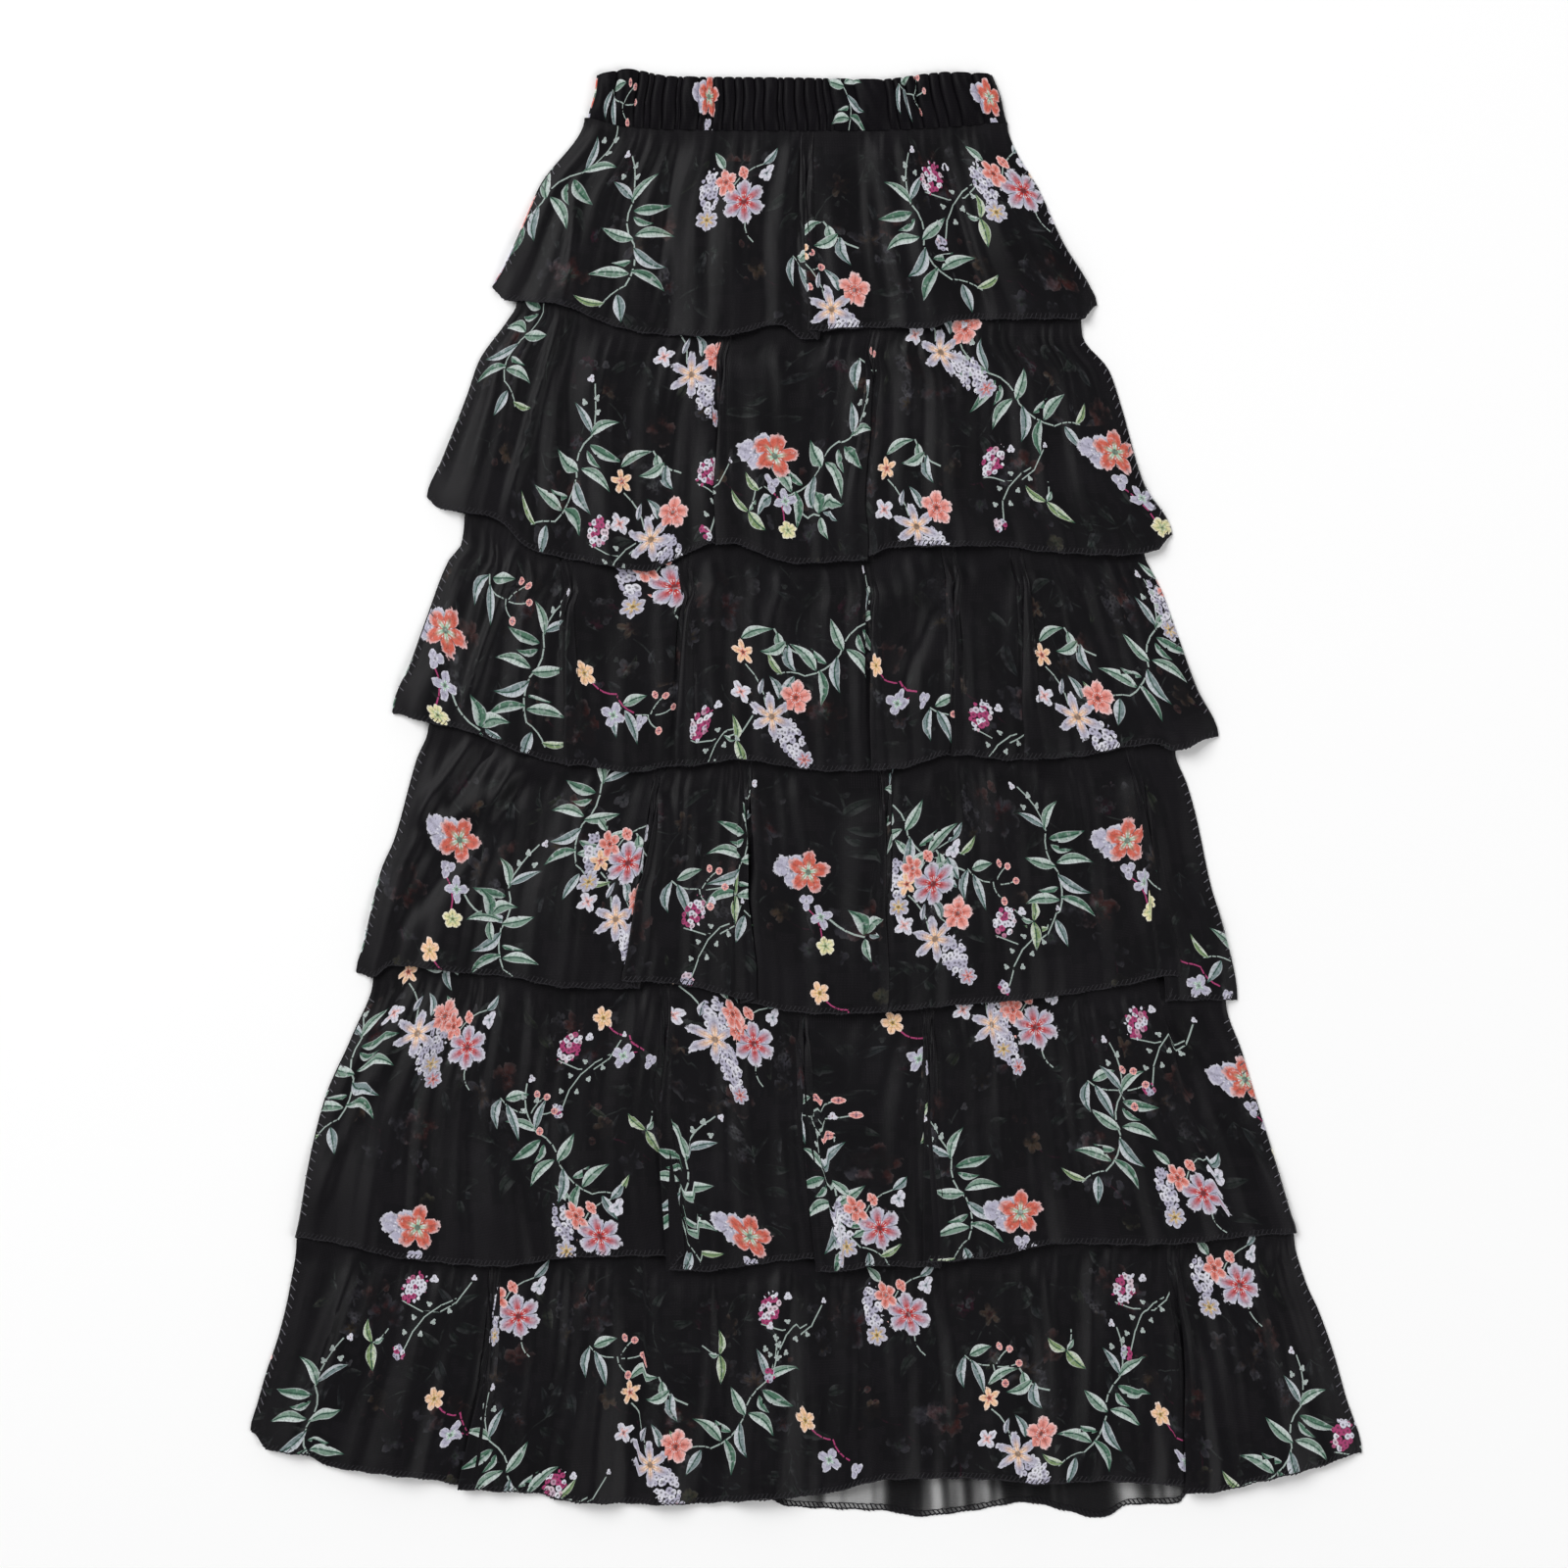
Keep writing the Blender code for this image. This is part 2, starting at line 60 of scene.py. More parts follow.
# Heights of the layers above the floor, at the middle of each cloth.
BACK_Z = 0.5
BACK_TOP_Z = 1.8
BODY_Z = 1.8
TOP_Z = 3.0
HEM_Z = 4.3
FIRST_SEAM_Z = 2.7
BAND_BACK_Z = 1.0
BAND_FRONT_Z = 3.2

# How far a tier reaches up under the hem above it, and its taper there.
TUCKED_UP = 28.0
TUCKED_TAPER = 0.97
HEM_CLEARANCE = 1.0
HEM_REACH = 15.0
BACK_HEM_LIFT = 2.0

# A fold-over: its layers' spacing, the bulge of its turns, its width before it opens, and the
# run over which its top layer settles beside it.
FOLD_PITCH = 1.3
TURN = 0.9
CLOSED_WIDTH = 7.0
HEM_STEP = 1.6
SETTLE = 34.0

# The run over which a tier climbs onto the top of the next one.
SHELF_RUN = 66.0

# Rows of points above a tier's seam, and how much closer together the rows below it start.
TUCKED_ROWS = (-TUCKED_UP, -18.0, -9.0, -3.0)
ROW_SPREAD = 1.2

# Waves along the cloth. Their phase moves on from tier to tier.
Wave = namedtuple("Wave", "length size phase tier_phase slant", defaults=(0.0,))
FLUTES = [Wave(57, 0.40, 0.4, 1.3, 0.10), Wave(34, 0.30, 1.9, 1.3, -0.07),
          Wave(22, 0.20, 4.1, 1.3, 0.05), Wave(14, 0.10, 2.2, 1.3, -0.04)]
LEAN_WAVES = [Wave(190, 0.10, 0, 1), Wave(71, 0.05, 4, 0)]

# Short, tight gathers and long ones: their pitch and how uneven it is, the share of the depth
# that a gather has and how uneven that is, and the depth on the first tier and on the others.
Gathers = namedtuple("Gathers", "pitch spacing share uneven first_depth depth")
TIGHT = Gathers(12.5, [Wave(83, 2.1, 0, 1), Wave(37, 1.4, 0, 2)],
                0.55, [Wave(47, 0.3, 0, 5), Wave(19, 0.2, 0, 0)], 1.1, 2.2)
LONG = Gathers(31.0, [Wave(131, 2.2, 0, 2.3)], 0.60, [Wave(97, 0.4, 0, 0.9)], 3.3, 2.6)

# How far down the tight gathers run, unevenly, and the long ones as a share of the tier. Both
# grow from nothing at the seam.
TIGHT_REACH = 34.0
TIGHT_LEAST = 10.0
UNEVEN_REACH = [Wave(61, 22, 0, 1.7), Wave(23, 14, 0, 3.1)]
LONG_REACH = 0.55
TIGHT_GROW = (0, 9)
LONG_GROW = (0, 20)

# Depth of the flutes and the creases, how far the flutes take to grow below the seam, and how
# far in from its sides the cloth lies calm. A crease pulls this share of the gathers flat.
FLUTE_DEPTH = 1.9
FLUTES_GROW = (6, 60)
CREASE_DEPTH = 1.5
CREASE_PULL = 0.8
SIDE_CALM = 14.0

# A fold opens below the seam, where it has this share of its height, and a fold-over laps over
# along most of the tier.
FOLD_OPENS = (3, 18)
FOLD_AT_SEAM = 0.3
LAP_STARTS = 14.0
LAP_RUN = 0.8
LAP_CURVE = 0.8
LAP_STACKS = (0.02, 0.2)

# No two columns of points are nearer than this along the cloth.
LEAST_STEP = 0.4

# The back's gathers lie elsewhere than the front's, and are low.
BACK_SHIFT = 300.0
BACK_RELIEF = 0.3
BACK_SINK = 0.15
BACK_CALM = 0.025

# The waistband from left to right: its top edge and its seam with the first tier.
BandRow = namedtuple("BandRow", "top_x top_y seam_x seam_y")
BAND_ROWS = [
    BandRow(-143, 497, -149, 467), BandRow(-124, 500, -131, 462), BandRow(-92, 495, -97, 459),
    BandRow(-4, 494, -3, 458), BandRow(50, 493, 52, 458.5), BandRow(99, 498, 104, 461),
    BandRow(127, 497, 137, 464),
]

BAND_DEPTH = 37.0
BAND_COLUMN = 1.1
BAND_COURSES = 9

# The band's gathers: how squarely they bulge, their height, how wide one has to be for all of
# it, the bumps they leave in the top edge, and how far they sway and wander.
RUCK_SHAPE = 3.6
RUCK_HEIGHT = 2.5
RUCK_WIDTH = 9.0
EDGE_BUMPS = 1.0
RUCK_SWAY = 1.1
RUCK_WANDER = 0.25

# Where the elastic's gathers pinch the band, across its front.
BAND_PINCHES = [
    -134, -118, -111, -107, -99, -90, -87, -75, -70, -65, -58, -50, -44, -36, -29, -19, -15,
    -7, 0, 8, 13, 18, 35, 57, 63, 71, 79, 89, 96, 105, 120,
]


def table(kind, tiers):
    """Each tier's rows, with their columns named."""
    return {tier: [kind(*row) for row in rows] for tier, rows in tiers.items()}


# The folded sides of each tier, from its seam down to its hem corner.
SideRow = namedtuple("SideRow", "left_x left_y right_x right_y")
SIDES = table(SideRow, {
    1: [(-152, 466, 138, 463), (-183, 420, 162, 413), (-199, 383, 177, 380), (-210, 360, 192, 356),
        (-216, 350, 200, 338)],
    2: [(-199, 346, 189, 326), (-206, 326, 190, 316), (-225, 299, 208, 293), (-233, 276, 216, 270),
        (-251, 230, 232, 215), (-261, 205, 252, 179)],
    3: [(-235, 192, 233, 166), (-237, 173, 236, 157), (-246, 161, 243, 144), (-260, 125, 253, 117),
        (-271, 94, 269, 73), (-285, 56, 284, 40)],
    4: [(-260, 51, 254, 20), (-268, 24, 262, 7), (-284, -33, 268, -14), (-292, -51, 279, -65),
        (-305, -104, 287, -91), (-310, -123, 297, -142)],
    5: [(-298, -128, 289, -147), (-313, -168, 300, -178), (-331, -209, 309, -208), (-343, -257, 326, -263),
        (-350, -298, 334, -290), (-352, -306, 338, -303)],
    6: [(-351, -309, 336, -310), (-356, -343, 344, -337), (-363, -373, 353, -357), (-372, -400, 363, -385),
        (-378, -421, 372, -417), (-383, -440, 383, -455)],
})

# The hems from left to right, x then y. Rows 3 mm apart are the step where a fold laps over.
HEMS = {
    1: [(-216, 350), (-209, 342), (-172, 338), (-135, 324), (-107, 318), (-57, 316), (-18, 324),
        (-1.5, 314), (1.5, 320), (50, 322), (84, 321), (103, 327), (123, 328), (191, 328),
        (200, 338)],
    2: [(-261, 205), (-256, 199), (-214, 190), (-190, 169), (-148, 160), (-111, 154), (-88, 163),
        (-63, 173), (-42, 167), (-4, 159), (41.5, 161), (44.5, 165), (64, 171), (138, 171),
        (157, 168), (218, 165), (243, 169), (252, 179)],
    3: [(-285, 56), (-263, 50), (-235, 44), (-194, 28), (-153, 18), (-126, 15), (-91, 20),
        (-54, 24), (17, 16), (56, 18), (99, 27), (134, 24), (181, 26), (243, 35), (253, 30),
        (284, 40)],
    4: [(-310, -123), (-300, -126), (-286, -118), (-239, -123), (-202, -126), (-166, -133),
        (-129.5, -134), (-126.5, -129), (-36, -140), (-29, -146), (8, -151), (38, -151),
        (106, -145), (166, -140), (242, -129), (257.5, -125), (260.5, -142), (297, -142)],
    5: [(-352, -306), (-317, -311), (-279, -320), (-211, -325), (-166, -320), (-98.5, -318),
        (-95.5, -328), (-78, -329), (-40, -325), (4.5, -320), (7.5, -329), (50, -325),
        (78.5, -326), (81.5, -322), (126, -319), (174, -310), (247, -310), (338, -303)],
    6: [(-383, -440), (-372, -452), (-342, -457), (-330, -464), (-278, -470), (-242.5, -476),
        (-239.5, -480), (-182, -483), (-170, -487), (-88, -490), (-34, -486), (11, -483),
        (60, -472), (130, -472), (162, -476), (208, -474), (258.5, -477), (261.5, -482),
        (310, -474), (357, -463), (383, -455)],
}

# The back of the last tier hangs lower than its front right of the middle.
LAST_BACK_HEM = [
    (-383, -440), (-342, -455), (-278, -468), (-182, -481), (-88, -488), (-34, -484), (-12, -492),
    (57, -495), (76, -499), (115, -495), (152, -489), (177, -494), (204, -500), (223, -491),
    (259, -490), (264, -480), (310, -472), (357, -461), (383, -455),
]

# The largest folds from left to right: where each starts at the seam and ends at the hem, its
# height at the hem, and for a fold-over its lap and the side whose cloth laps over. The others
# are ridges and troughs.
FoldRow = namedtuple("FoldRow", "seam_x hem_x height lap side", defaults=(0, ""))
FOLDS = table(FoldRow, {
    1: [(-122, -165, 3.0), (-88, -108, 0.0), (-44, -56, 4.0), (1, 0, 1.0, 10, "right"), (36, 39, 0.5),
        (62, 80, 4.0), (90, 126, 0.0), (115, 165, 3.0)],
    2: [(-180, -215, 4.0), (-155, -162, 0.0), (-130, -136, 5.0), (-105, -111, 0.0),
        (-56, -63, 1.5, 13, "right"), (-5, -12, 5.5), (48, 43, 1.5, 12, "left"), (90, 105, 5.0),
        (125, 150, 0.5), (158, 197, 5.0)],
    3: [(-204, -226, 4.0), (-166, -166, 1.0, 12, "right"), (-84, -91, 1.5, 14, "right"), (-27, -25, 5.5),
        (8, 8, 0.0), (42, 44, 1.5, 12, "right"), (98, 99, 1.5, 12, "right"),
        (145, 149, 1.0, 13, "right"), (183, 216, 0.5), (208, 250, 4.0)],
    4: [(-222, -262, 4.5), (-186, -212, 0.5), (-146, -170, 5.5), (-101, -128, 1.5, 14, "right"),
        (-42, -33, 1.5, 13, "left"), (10, 20, 4.0), (55, 57, 1.5, 14, "left"), (82, 86, 4.5),
        (104, 108, 0.5), (132, 148, 5.0), (160, 182, 0.0), (225, 259, 1.0, 12, "left")],
    5: [(-255, -295, 4.5), (-232, -254, 0.5), (-208, -209, 6.0), (-150, -152, 0.5),
        (-97, -97, 1.5, 14, "right"), (-62, -60, 5.0), (-36, -32, 0.5), (-4, 6, 1.5, 14, "right"),
        (42, 44, 5.5), (84, 80, 1.5, 14, "right"), (124, 132, 5.5), (165, 186, 0.5),
        (200, 236, 6.0), (245, 296, 0.5)],
    6: [(-322, -360, 4.0), (-300, -338, 0.5), (-256, -284, 7.0), (-215, -241, 1.5, 13, "right"),
        (-166, -180, 0.5), (-140, -148, 7.0), (-115, -122, 1.0), (-92, -97, 6.5), (-68, -78, 0.5),
        (-26, -25, 8.0), (12, 14, 1.0), (48, 52, 7.0), (88, 95, 0.5), (140, 145, 8.0),
        (195, 196, 0.5), (225, 228, 6.0), (254, 260, 1.5, 13, "right"), (300, 325, 5.0)],
})

# Slanted creases pressed across the folds, from (x0, y0) to (x1, y1). A trough has a height
# under 0.
CreaseRow = namedtuple("CreaseRow", "x0 y0 x1 y1 width height")
CREASES = table(CreaseRow, {
    1: [(90, 455, 126, 330, 4, -1.4), (-88, 458, -108, 325, 4, -1.4), (-158, 428, -166, 330, 3, 1.6)],
    2: [(-170, 330, -208, 190, 3, 2.4)],
    3: [(-199, 172, -238, 56, 3, 2.2), (90, 133, 64, 70, 5, -1.5), (183, 165, 218, 63, 5, -1.5)],
    4: [(-178, 27, -286, -47, 7, 1.6), (-186, 17, -286, -98, 6, -1.8), (-228, 40, -276, -26, 4, 2.1),
        (-213, 38, -250, -14, 4, -1.8), (-199, 28, -233, -50, 5, 2.2), (160, 20, 172, -71, 5, -1.5)],
    5: [(241, -136, 326, -272, 7, 2.6), (252, -160, 318, -250, 5, -2.0), (-300, -190, -340, -290, 5, 1.2)],
    6: [(-309, -316, -354, -446, 4, 2.4), (199, -315, 196, -464, 5, -1.6)],
})


def mix(a, b, t):
    return a + (b - a) * t


def smooth(low, high, x):
    """0 below low, 1 above high and a soft step between."""
    t = np.clip((x - low) / (high - low), 0.0, 1.0)
    return t * t * (3 - 2 * t)


def flowing(knots, x):
    """Values at x of a curve through (x, y) knots that never overshoots them."""
    knots = np.asarray(knots, float)
    place, value = knots[:, 0], knots[:, 1]
    x = np.clip(np.asarray(x, float), place[0], place[-1])
    slope = np.diff(value) / np.diff(place)
    before, after = slope[:-1], slope[1:]
    tangent = np.zeros(len(place))
    same_way = before * after > 0
    tangent[1:-1][same_way] = (2 * before * after)[same_way] / (before + after)[same_way]
    i = np.clip(np.searchsorted(place, x, side="right") - 1, 0, len(place) - 2)
    run = place[i + 1] - place[i]
    t = (x - place[i]) / run
    return (value[i] * (1 + 2 * t) * (1 - t) ** 2 + tangent[i] * run * t * (1 - t) ** 2
            + value[i + 1] * (3 - 2 * t) * t * t + tangent[i + 1] * run * (t - 1) * t * t)


def ripple(tier, along, down, waves):
    """Sum of long waves over a tier's cloth."""
    total = 0.0
    for wave in waves:
        turns = (along + wave.slant * down) / wave.length
        total = total + wave.size * np.sin(2 * pi * turns + wave.phase + wave.tier_phase * tier)
    return total


def seam_y(tier, x):
    """Where the tier comes out: at the band's seam, or just below the hem above it."""
    x = np.asarray(x, float)
    if tier == 1:
        return flowing([(row.seam_x, row.seam_y) for row in BAND_ROWS], x)
    nearby = [flowing(HEMS[tier - 1], x + HEM_REACH * k / 4) for k in range(-4, 5)]
    return np.min(nearby, axis=0) - HEM_CLEARANCE


class Panel:
    """The flat outline of one tier's front or back, as a patch between its four edges."""

    def __init__(self, tier, hem):
        self.tier = tier
        self.hem = hem
        rows = SIDES[tier]
        self.left_x, self.right_x = rows[0].left_x, rows[0].right_x
        self.left = self.side([(row.left_y, row.left_x) for row in rows], self.left_x)
        self.right = self.side([(row.right_y, row.right_x) for row in rows], self.right_x)

    def side(self, knots, top_x):
        """Knots of x against y, upwards, with the first row moved to the seam."""
        top_y = float(seam_y(self.tier, top_x))
        return sorted([knot for knot in knots[1:] if knot[0] < top_y - 1.0] + [(top_y, top_x)])

    def edge(self, knots, v):
        y = mix(knots[-1][0], knots[0][0], v)
        return flowing(knots, y), y

    def seam(self, u):
        x = mix(self.left_x, self.right_x, u)
        return x, seam_y(self.tier, x)

    def bottom(self, u):
        x = mix(self.hem[0][0], self.hem[-1][0], u)
        return x, flowing(self.hem, x)

    def height(self, u):
        return self.seam(u)[1] - self.bottom(u)[1]

    def point(self, u, v):
        """Points of the patch, u from the left side to the right and v from seam to hem."""
        result = []
        for axis in (0, 1):
            top, low = self.seam(u)[axis], self.bottom(u)[axis]
            sides = mix(self.edge(self.left, v)[axis], self.edge(self.right, v)[axis], u)
            corners = mix(mix(self.seam(0.0)[axis], self.seam(1.0)[axis], u),
                          mix(self.bottom(0.0)[axis], self.bottom(1.0)[axis], u), v)
            result.append(mix(top, low, v) + sides - corners)
        return result


# The lines of points down a front panel, one array for each: their places across at the seam
# and the hem, the fold's height, the side of a hem step, and their moves in a fold-over.
Columns = namedtuple("Columns", "seam_u hem_u height nudge shift bulge level order")


def lap_lines(lap, side, pitch):
    """Nudge, shift, bulge and level of each line across a fold-over, from left to right."""
    runs = max(3, round(lap / pitch))
    steps = [k / runs for k in range(runs + 1)]
    lines = [(-1, t, 0, 0) for t in steps[1:]]
    lines += [(-1, 1, bulge, level) for bulge, level in ((0.8, 0.15), (1, 0.5), (0.8, 0.85))]
    lines += [(mix(-1, 1, t), 1 - t, 0, 1) for t in steps]
    lines += [(1, 0, -bulge, level) for bulge, level in ((0.8, 1.15), (1, 1.5), (0.8, 1.85))]
    lines += [(1, t, 0, 2) for t in steps]
    if side == "left":
        lines = [(-nudge, -shift, -bulge, level) for nudge, shift, bulge, level in lines[::-1]]
    return lines


def front_columns(panel, pitch):
    """Every line of points across a front panel, from its left side to its right."""
    seam_width = panel.right_x - panel.left_x
    hem_left, hem_width = panel.hem[0][0], panel.hem[-1][0] - panel.hem[0][0]
    flat = FoldRow(0, 0, 0.0)
    paths = [(0.0, 0.0, flat)]
    for fold in FOLDS[panel.tier]:
        paths.append(((fold.seam_x - panel.left_x) / seam_width,
                      (fold.hem_x - hem_left) / hem_width, fold))
    paths.append((1.0, 1.0, flat))

    lines = [(0.0, 0.0, 0.0, 0.0, 0.0, 0.0, 0.0, 0.0)]
    for (seam_a, hem_a, fold_a), (seam_b, hem_b, fold_b) in zip(paths, paths[1:]):
        gap = (hem_b - hem_a) * hem_width
        count = max(4, round(gap / pitch))
        clear_a = fold_a.lap + TURN if fold_a.side == "right" else 0.0
        clear_b = -fold_b.lap - TURN if fold_b.side == "left" else 0.0
        for k in range(1, count):
            t = k / count
            height = mix(fold_a.height, fold_b.height, 0.5 - 0.5 * np.cos(pi * t))
            level = 0.0
            if clear_a:
                level = 2 * smooth(SETTLE, 0, t * gap)
            if clear_b:
                level = max(level, 2 * smooth(SETTLE, 0, (1 - t) * gap))
            lines.append((mix(seam_a, seam_b, t), mix(hem_a, hem_b, t), height, 0.0,
                          mix(clear_a, clear_b, t), 0.0, level, 0.0))
        if not fold_b.lap:
            lines.append((seam_b, hem_b, fold_b.height, 0.0, 0.0, 0.0, 0.0, 0.0))
            continue
        across = lap_lines(fold_b.lap, fold_b.side, pitch)
        for k, (nudge, shift, bulge, level) in enumerate(across):
            lines.append((seam_b, hem_b, fold_b.height, nudge, shift * fold_b.lap, bulge, level,
                          (k + 0.5) / len(across) - 0.5))
    return Columns(*np.array(lines).T)


def courses(panel, pitch):
    """Rows down a tier: (share of the height, millimetres), closer together near the seam."""
    count = round(float(np.mean(panel.height(np.linspace(0, 1, 9)))) / pitch)
    rows = [((k / count) ** ROW_SPREAD, 0.0) for k in range(count + 1)]
    if panel.tier > 1:
        rows = [(0.0, up) for up in TUCKED_ROWS] + rows
    return rows


def placed(panel, u, share, fixed, height):
    """Flat x, y and the distance below the seam. Rows above the seam are tucked up."""
    down = share * height + fixed
    x, y = panel.point(u, np.clip(down / height, 0.0, 1.0))
    if fixed < 0:
        x = x * mix(1.0, TUCKED_TAPER, -fixed / TUCKED_UP)
        y = y - fixed
    return x, y, down


def crease_relief(tier, x, y):
    """The height of the drags and creases, and how far they pull the gathers flat."""
    relief, pulled = np.zeros_like(x), np.zeros_like(x)
    for row in CREASES[tier]:
        along_x, along_y = row.x1 - row.x0, row.y1 - row.y0
        length = np.hypot(along_x, along_y)
        t = ((x - row.x0) * along_x + (y - row.y0) * along_y) / length ** 2
        off = ((x - row.x0) * along_y - (y - row.y0) * along_x) / length
        ends = smooth(-0.05, 0.2, t) * smooth(1.05, 0.75, t)
        relief += row.height * ends * np.exp(-(off / row.width) ** 2)
        pulled = np.maximum(pulled, ends * np.exp(-(off / (3 * row.width)) ** 2))
    return relief, pulled


def gather_relief(tier, along, down, height):
    """Uneven gathers that start at the seam, lean a little and run out towards the hem."""
    down = np.maximum(down, 0)
    across = along + ripple(tier, along, down, LEAN_WAVES) * down

    def relief(gathers, reach):
        phase = 2 * pi * across / gathers.pitch + ripple(tier, along, down, gathers.spacing)
        share = gathers.share + ripple(tier, along, down, gathers.uneven)
        depth = gathers.first_depth if tier == 1 else gathers.depth
        return depth * share * (0.5 - 0.5 * np.cos(phase)) * np.exp(-down / reach)

    reach = np.maximum(TIGHT_REACH + ripple(tier, along, down, UNEVEN_REACH), TIGHT_LEAST)
    long = relief(LONG, LONG_REACH * height) * smooth(*LONG_GROW, down)
    return smooth(*TIGHT_GROW, down) * (relief(TIGHT, reach) + long)


def layer_height(tier, panel, x, y, down):
    """Height of a front panel's middle: under the tier above, on its back, and over the next."""
    above = FIRST_SEAM_Z if tier == 1 else TOP_Z
    z = mix(above, BODY_Z, smooth(0, 15, down))
    if tier == TIERS[-1]:
        return z
    shelf = smooth(SHELF_RUN, 2, y - seam_y(tier + 1, x) - TUCKED_UP)
    if tier < TIERS[-2]:
        shelf = shelf * smooth(0, 10, np.minimum(x - panel.hem[0][0], panel.hem[-1][0] - x))
    return mix(z, HEM_Z, shelf)


def front_sheet(tier, pitch, drop_pitch):
    """Middle of the cloth of a front panel: points[row, column] and the distance down."""
    panel = Panel(tier, HEMS[tier])
    columns = front_columns(panel, pitch)
    width = panel.hem[-1][0] - panel.hem[0][0]
    hem_x = mix(panel.hem[0][0], panel.hem[-1][0], columns.hem_u) + columns.shift
    along = np.concatenate([[0.0], np.cumsum(np.hypot(np.diff(hem_x), LEAST_STEP))])
    inner = smooth(0, SIDE_CALM, np.minimum(along, along[-1] - along))
    height = panel.height(columns.seam_u)
    points, downs = [], []
    for share, fixed in courses(panel, drop_pitch):
        inside = np.clip(share + fixed / height, 0.0, 1.0)
        u = mix(columns.seam_u, columns.hem_u, inside)
        u = u + columns.nudge * HEM_STEP / width
        x, y, down = placed(panel, u, share, fixed, height)
        opened = smooth(*FOLD_OPENS, down)
        lapped = np.clip((down - LAP_STARTS) / (LAP_RUN * height), 0, 1) ** LAP_CURVE
        x = x + mix(columns.order * CLOSED_WIDTH, columns.shift + columns.bulge * TURN, lapped)

        z = layer_height(tier, panel, x, y, down)
        z = z + columns.height * mix(FOLD_AT_SEAM, 1.0, inside) * opened
        z = z + columns.level * FOLD_PITCH * smooth(*LAP_STACKS, lapped)
        creases, pulled = crease_relief(tier, x, y)
        gathers = (1 - CREASE_PULL * pulled) * gather_relief(tier, along, down, height)
        flutes = smooth(*FLUTES_GROW, down) * FLUTE_DEPTH * (1 + ripple(tier, along, down, FLUTES))
        z = z + inner * (gathers + flutes + CREASE_DEPTH * creases)
        points.append(np.stack([x, y, z], axis=-1))
        downs.append(down)
    return np.array(points), np.array(downs)


def back_sheet(tier, pitch, drop_pitch):
    """Middle of the cloth of a back panel, from right to left, nearly flat on the floor."""
    last = tier == TIERS[-1]
    hem = LAST_BACK_HEM if last else [(x, y + BACK_HEM_LIFT) for x, y in HEMS[tier]]
    panel = Panel(tier, hem)
    count = round((hem[-1][0] - hem[0][0]) / pitch)
    u = np.linspace(1, 0, count + 1)
    along = (1 - u) * (hem[-1][0] - hem[0][0]) + BACK_SHIFT
    height = panel.height(u)
    points, downs = [], []
    for share, fixed in courses(Panel(tier, HEMS[tier]), drop_pitch):
        x, y, down = placed(panel, u, share, fixed, height)
        base = BACK_Z if tier == 1 else mix(BACK_TOP_Z, BACK_Z, smooth(1, 9, down))
        relief = gather_relief(tier + 0.5, along, down, height)
        calm = smooth(0, BACK_CALM, np.minimum(u, 1 - u))
        z = base - BACK_SINK + BACK_RELIEF * relief * calm
        points.append(np.stack([x, y, z + 0 * x], axis=-1))
        downs.append(down)
    return np.array(points), np.array(downs)


def pressed_tube(front, back):
    """One row of points right round a flattened tube, from the left side and back to it."""
    right = (front[:, -1] + back[:, 0]) / 2
    left = (front[:, 0] + back[:, -1]) / 2
    right[:, 0] += TURN
    left[:, 0] -= TURN
    return np.concatenate([front, right[:, None], back, left[:, None], front[:, :1]], axis=1)


def cut_lengths(tube):
    """Distance along the cut cloth of each column of points, measured round the hem."""
    steps = np.linalg.norm(np.diff(tube[-1], axis=0), axis=1)
    return np.concatenate([[0.0], np.cumsum(steps)])


def band_sheet(column_pitch):
    """The waistband's tube of doubled cloth, pinched into gathers, from its top edge down."""
    tops = [(row.top_x, row.top_y) for row in BAND_ROWS]
    seams = [(row.seam_x, row.seam_y) for row in BAND_ROWS]
    pinches = [tops[0][0] - 4.0] + BAND_PINCHES + [tops[-1][0] + 6.0]
    shares = []
    for a, b in zip(pinches, pinches[1:]):
        count = max(5, round((b - a) / column_pitch))
        shares += [mix(a, b, k / count) for k in range(count)]
    x_mid = np.array(shares + [pinches[-1]])
    u = (x_mid - x_mid[0]) / (x_mid[-1] - x_mid[0])
    left = np.clip(np.searchsorted(pinches, x_mid, side="right") - 1, 0, len(pinches) - 2)
    pinch = np.array(pinches)
    gap = pinch[left + 1] - pinch[left]
    hump = 1 - np.abs(2 * (x_mid - pinch[left]) / gap - 1) ** RUCK_SHAPE
    front, back = [], []
    for down in np.linspace(0, 1, BAND_COURSES):
        top_x, seam_x = mix(tops[0][0], tops[-1][0], u), mix(seams[0][0], seams[-1][0], u)
        sway = RUCK_SWAY * np.sin(2 * pi * (3 * u + 0.6 * down)) * np.sin(pi * down)
        x = mix(top_x, seam_x, down) + sway
        y = mix(flowing(tops, top_x), flowing(seams, seam_x), down)
        y = y + EDGE_BUMPS * (hump - 0.6) * (1 - down) ** 6
        rounded = 1 - 0.45 * abs(2 * down - 1) ** 6
        strength = mix(0.75, 1.0, np.sin(pi * min(1, down + 0.12)))
        ruck = RUCK_HEIGHT * strength * hump * np.minimum(1, gap / RUCK_WIDTH)
        wander = RUCK_WANDER * np.sin(2 * pi * down * 1.3 + 5 * x_mid)
        front.append(np.stack([x, y, BAND_FRONT_Z * rounded + ruck + wander * hump], axis=-1))
        low = BAND_BACK_Z + 0.25 * (1 - rounded) + 0.12 * hump
        back.append(np.stack([x, y, low], axis=-1)[::-1])
    front, back = np.array(front), np.array(back)
    downs = np.linspace(0, BAND_DEPTH, BAND_COURSES)[:, None] * np.ones(front.shape[1] * 2 + 3)
    return pressed_tube(front, back), downs


def only(piece):
    """Make this the one selected and active object."""
    bpy.ops.object.select_all(action="DESELECT")
    piece.select_set(True)
    bpy.context.view_layer.objects.active = piece


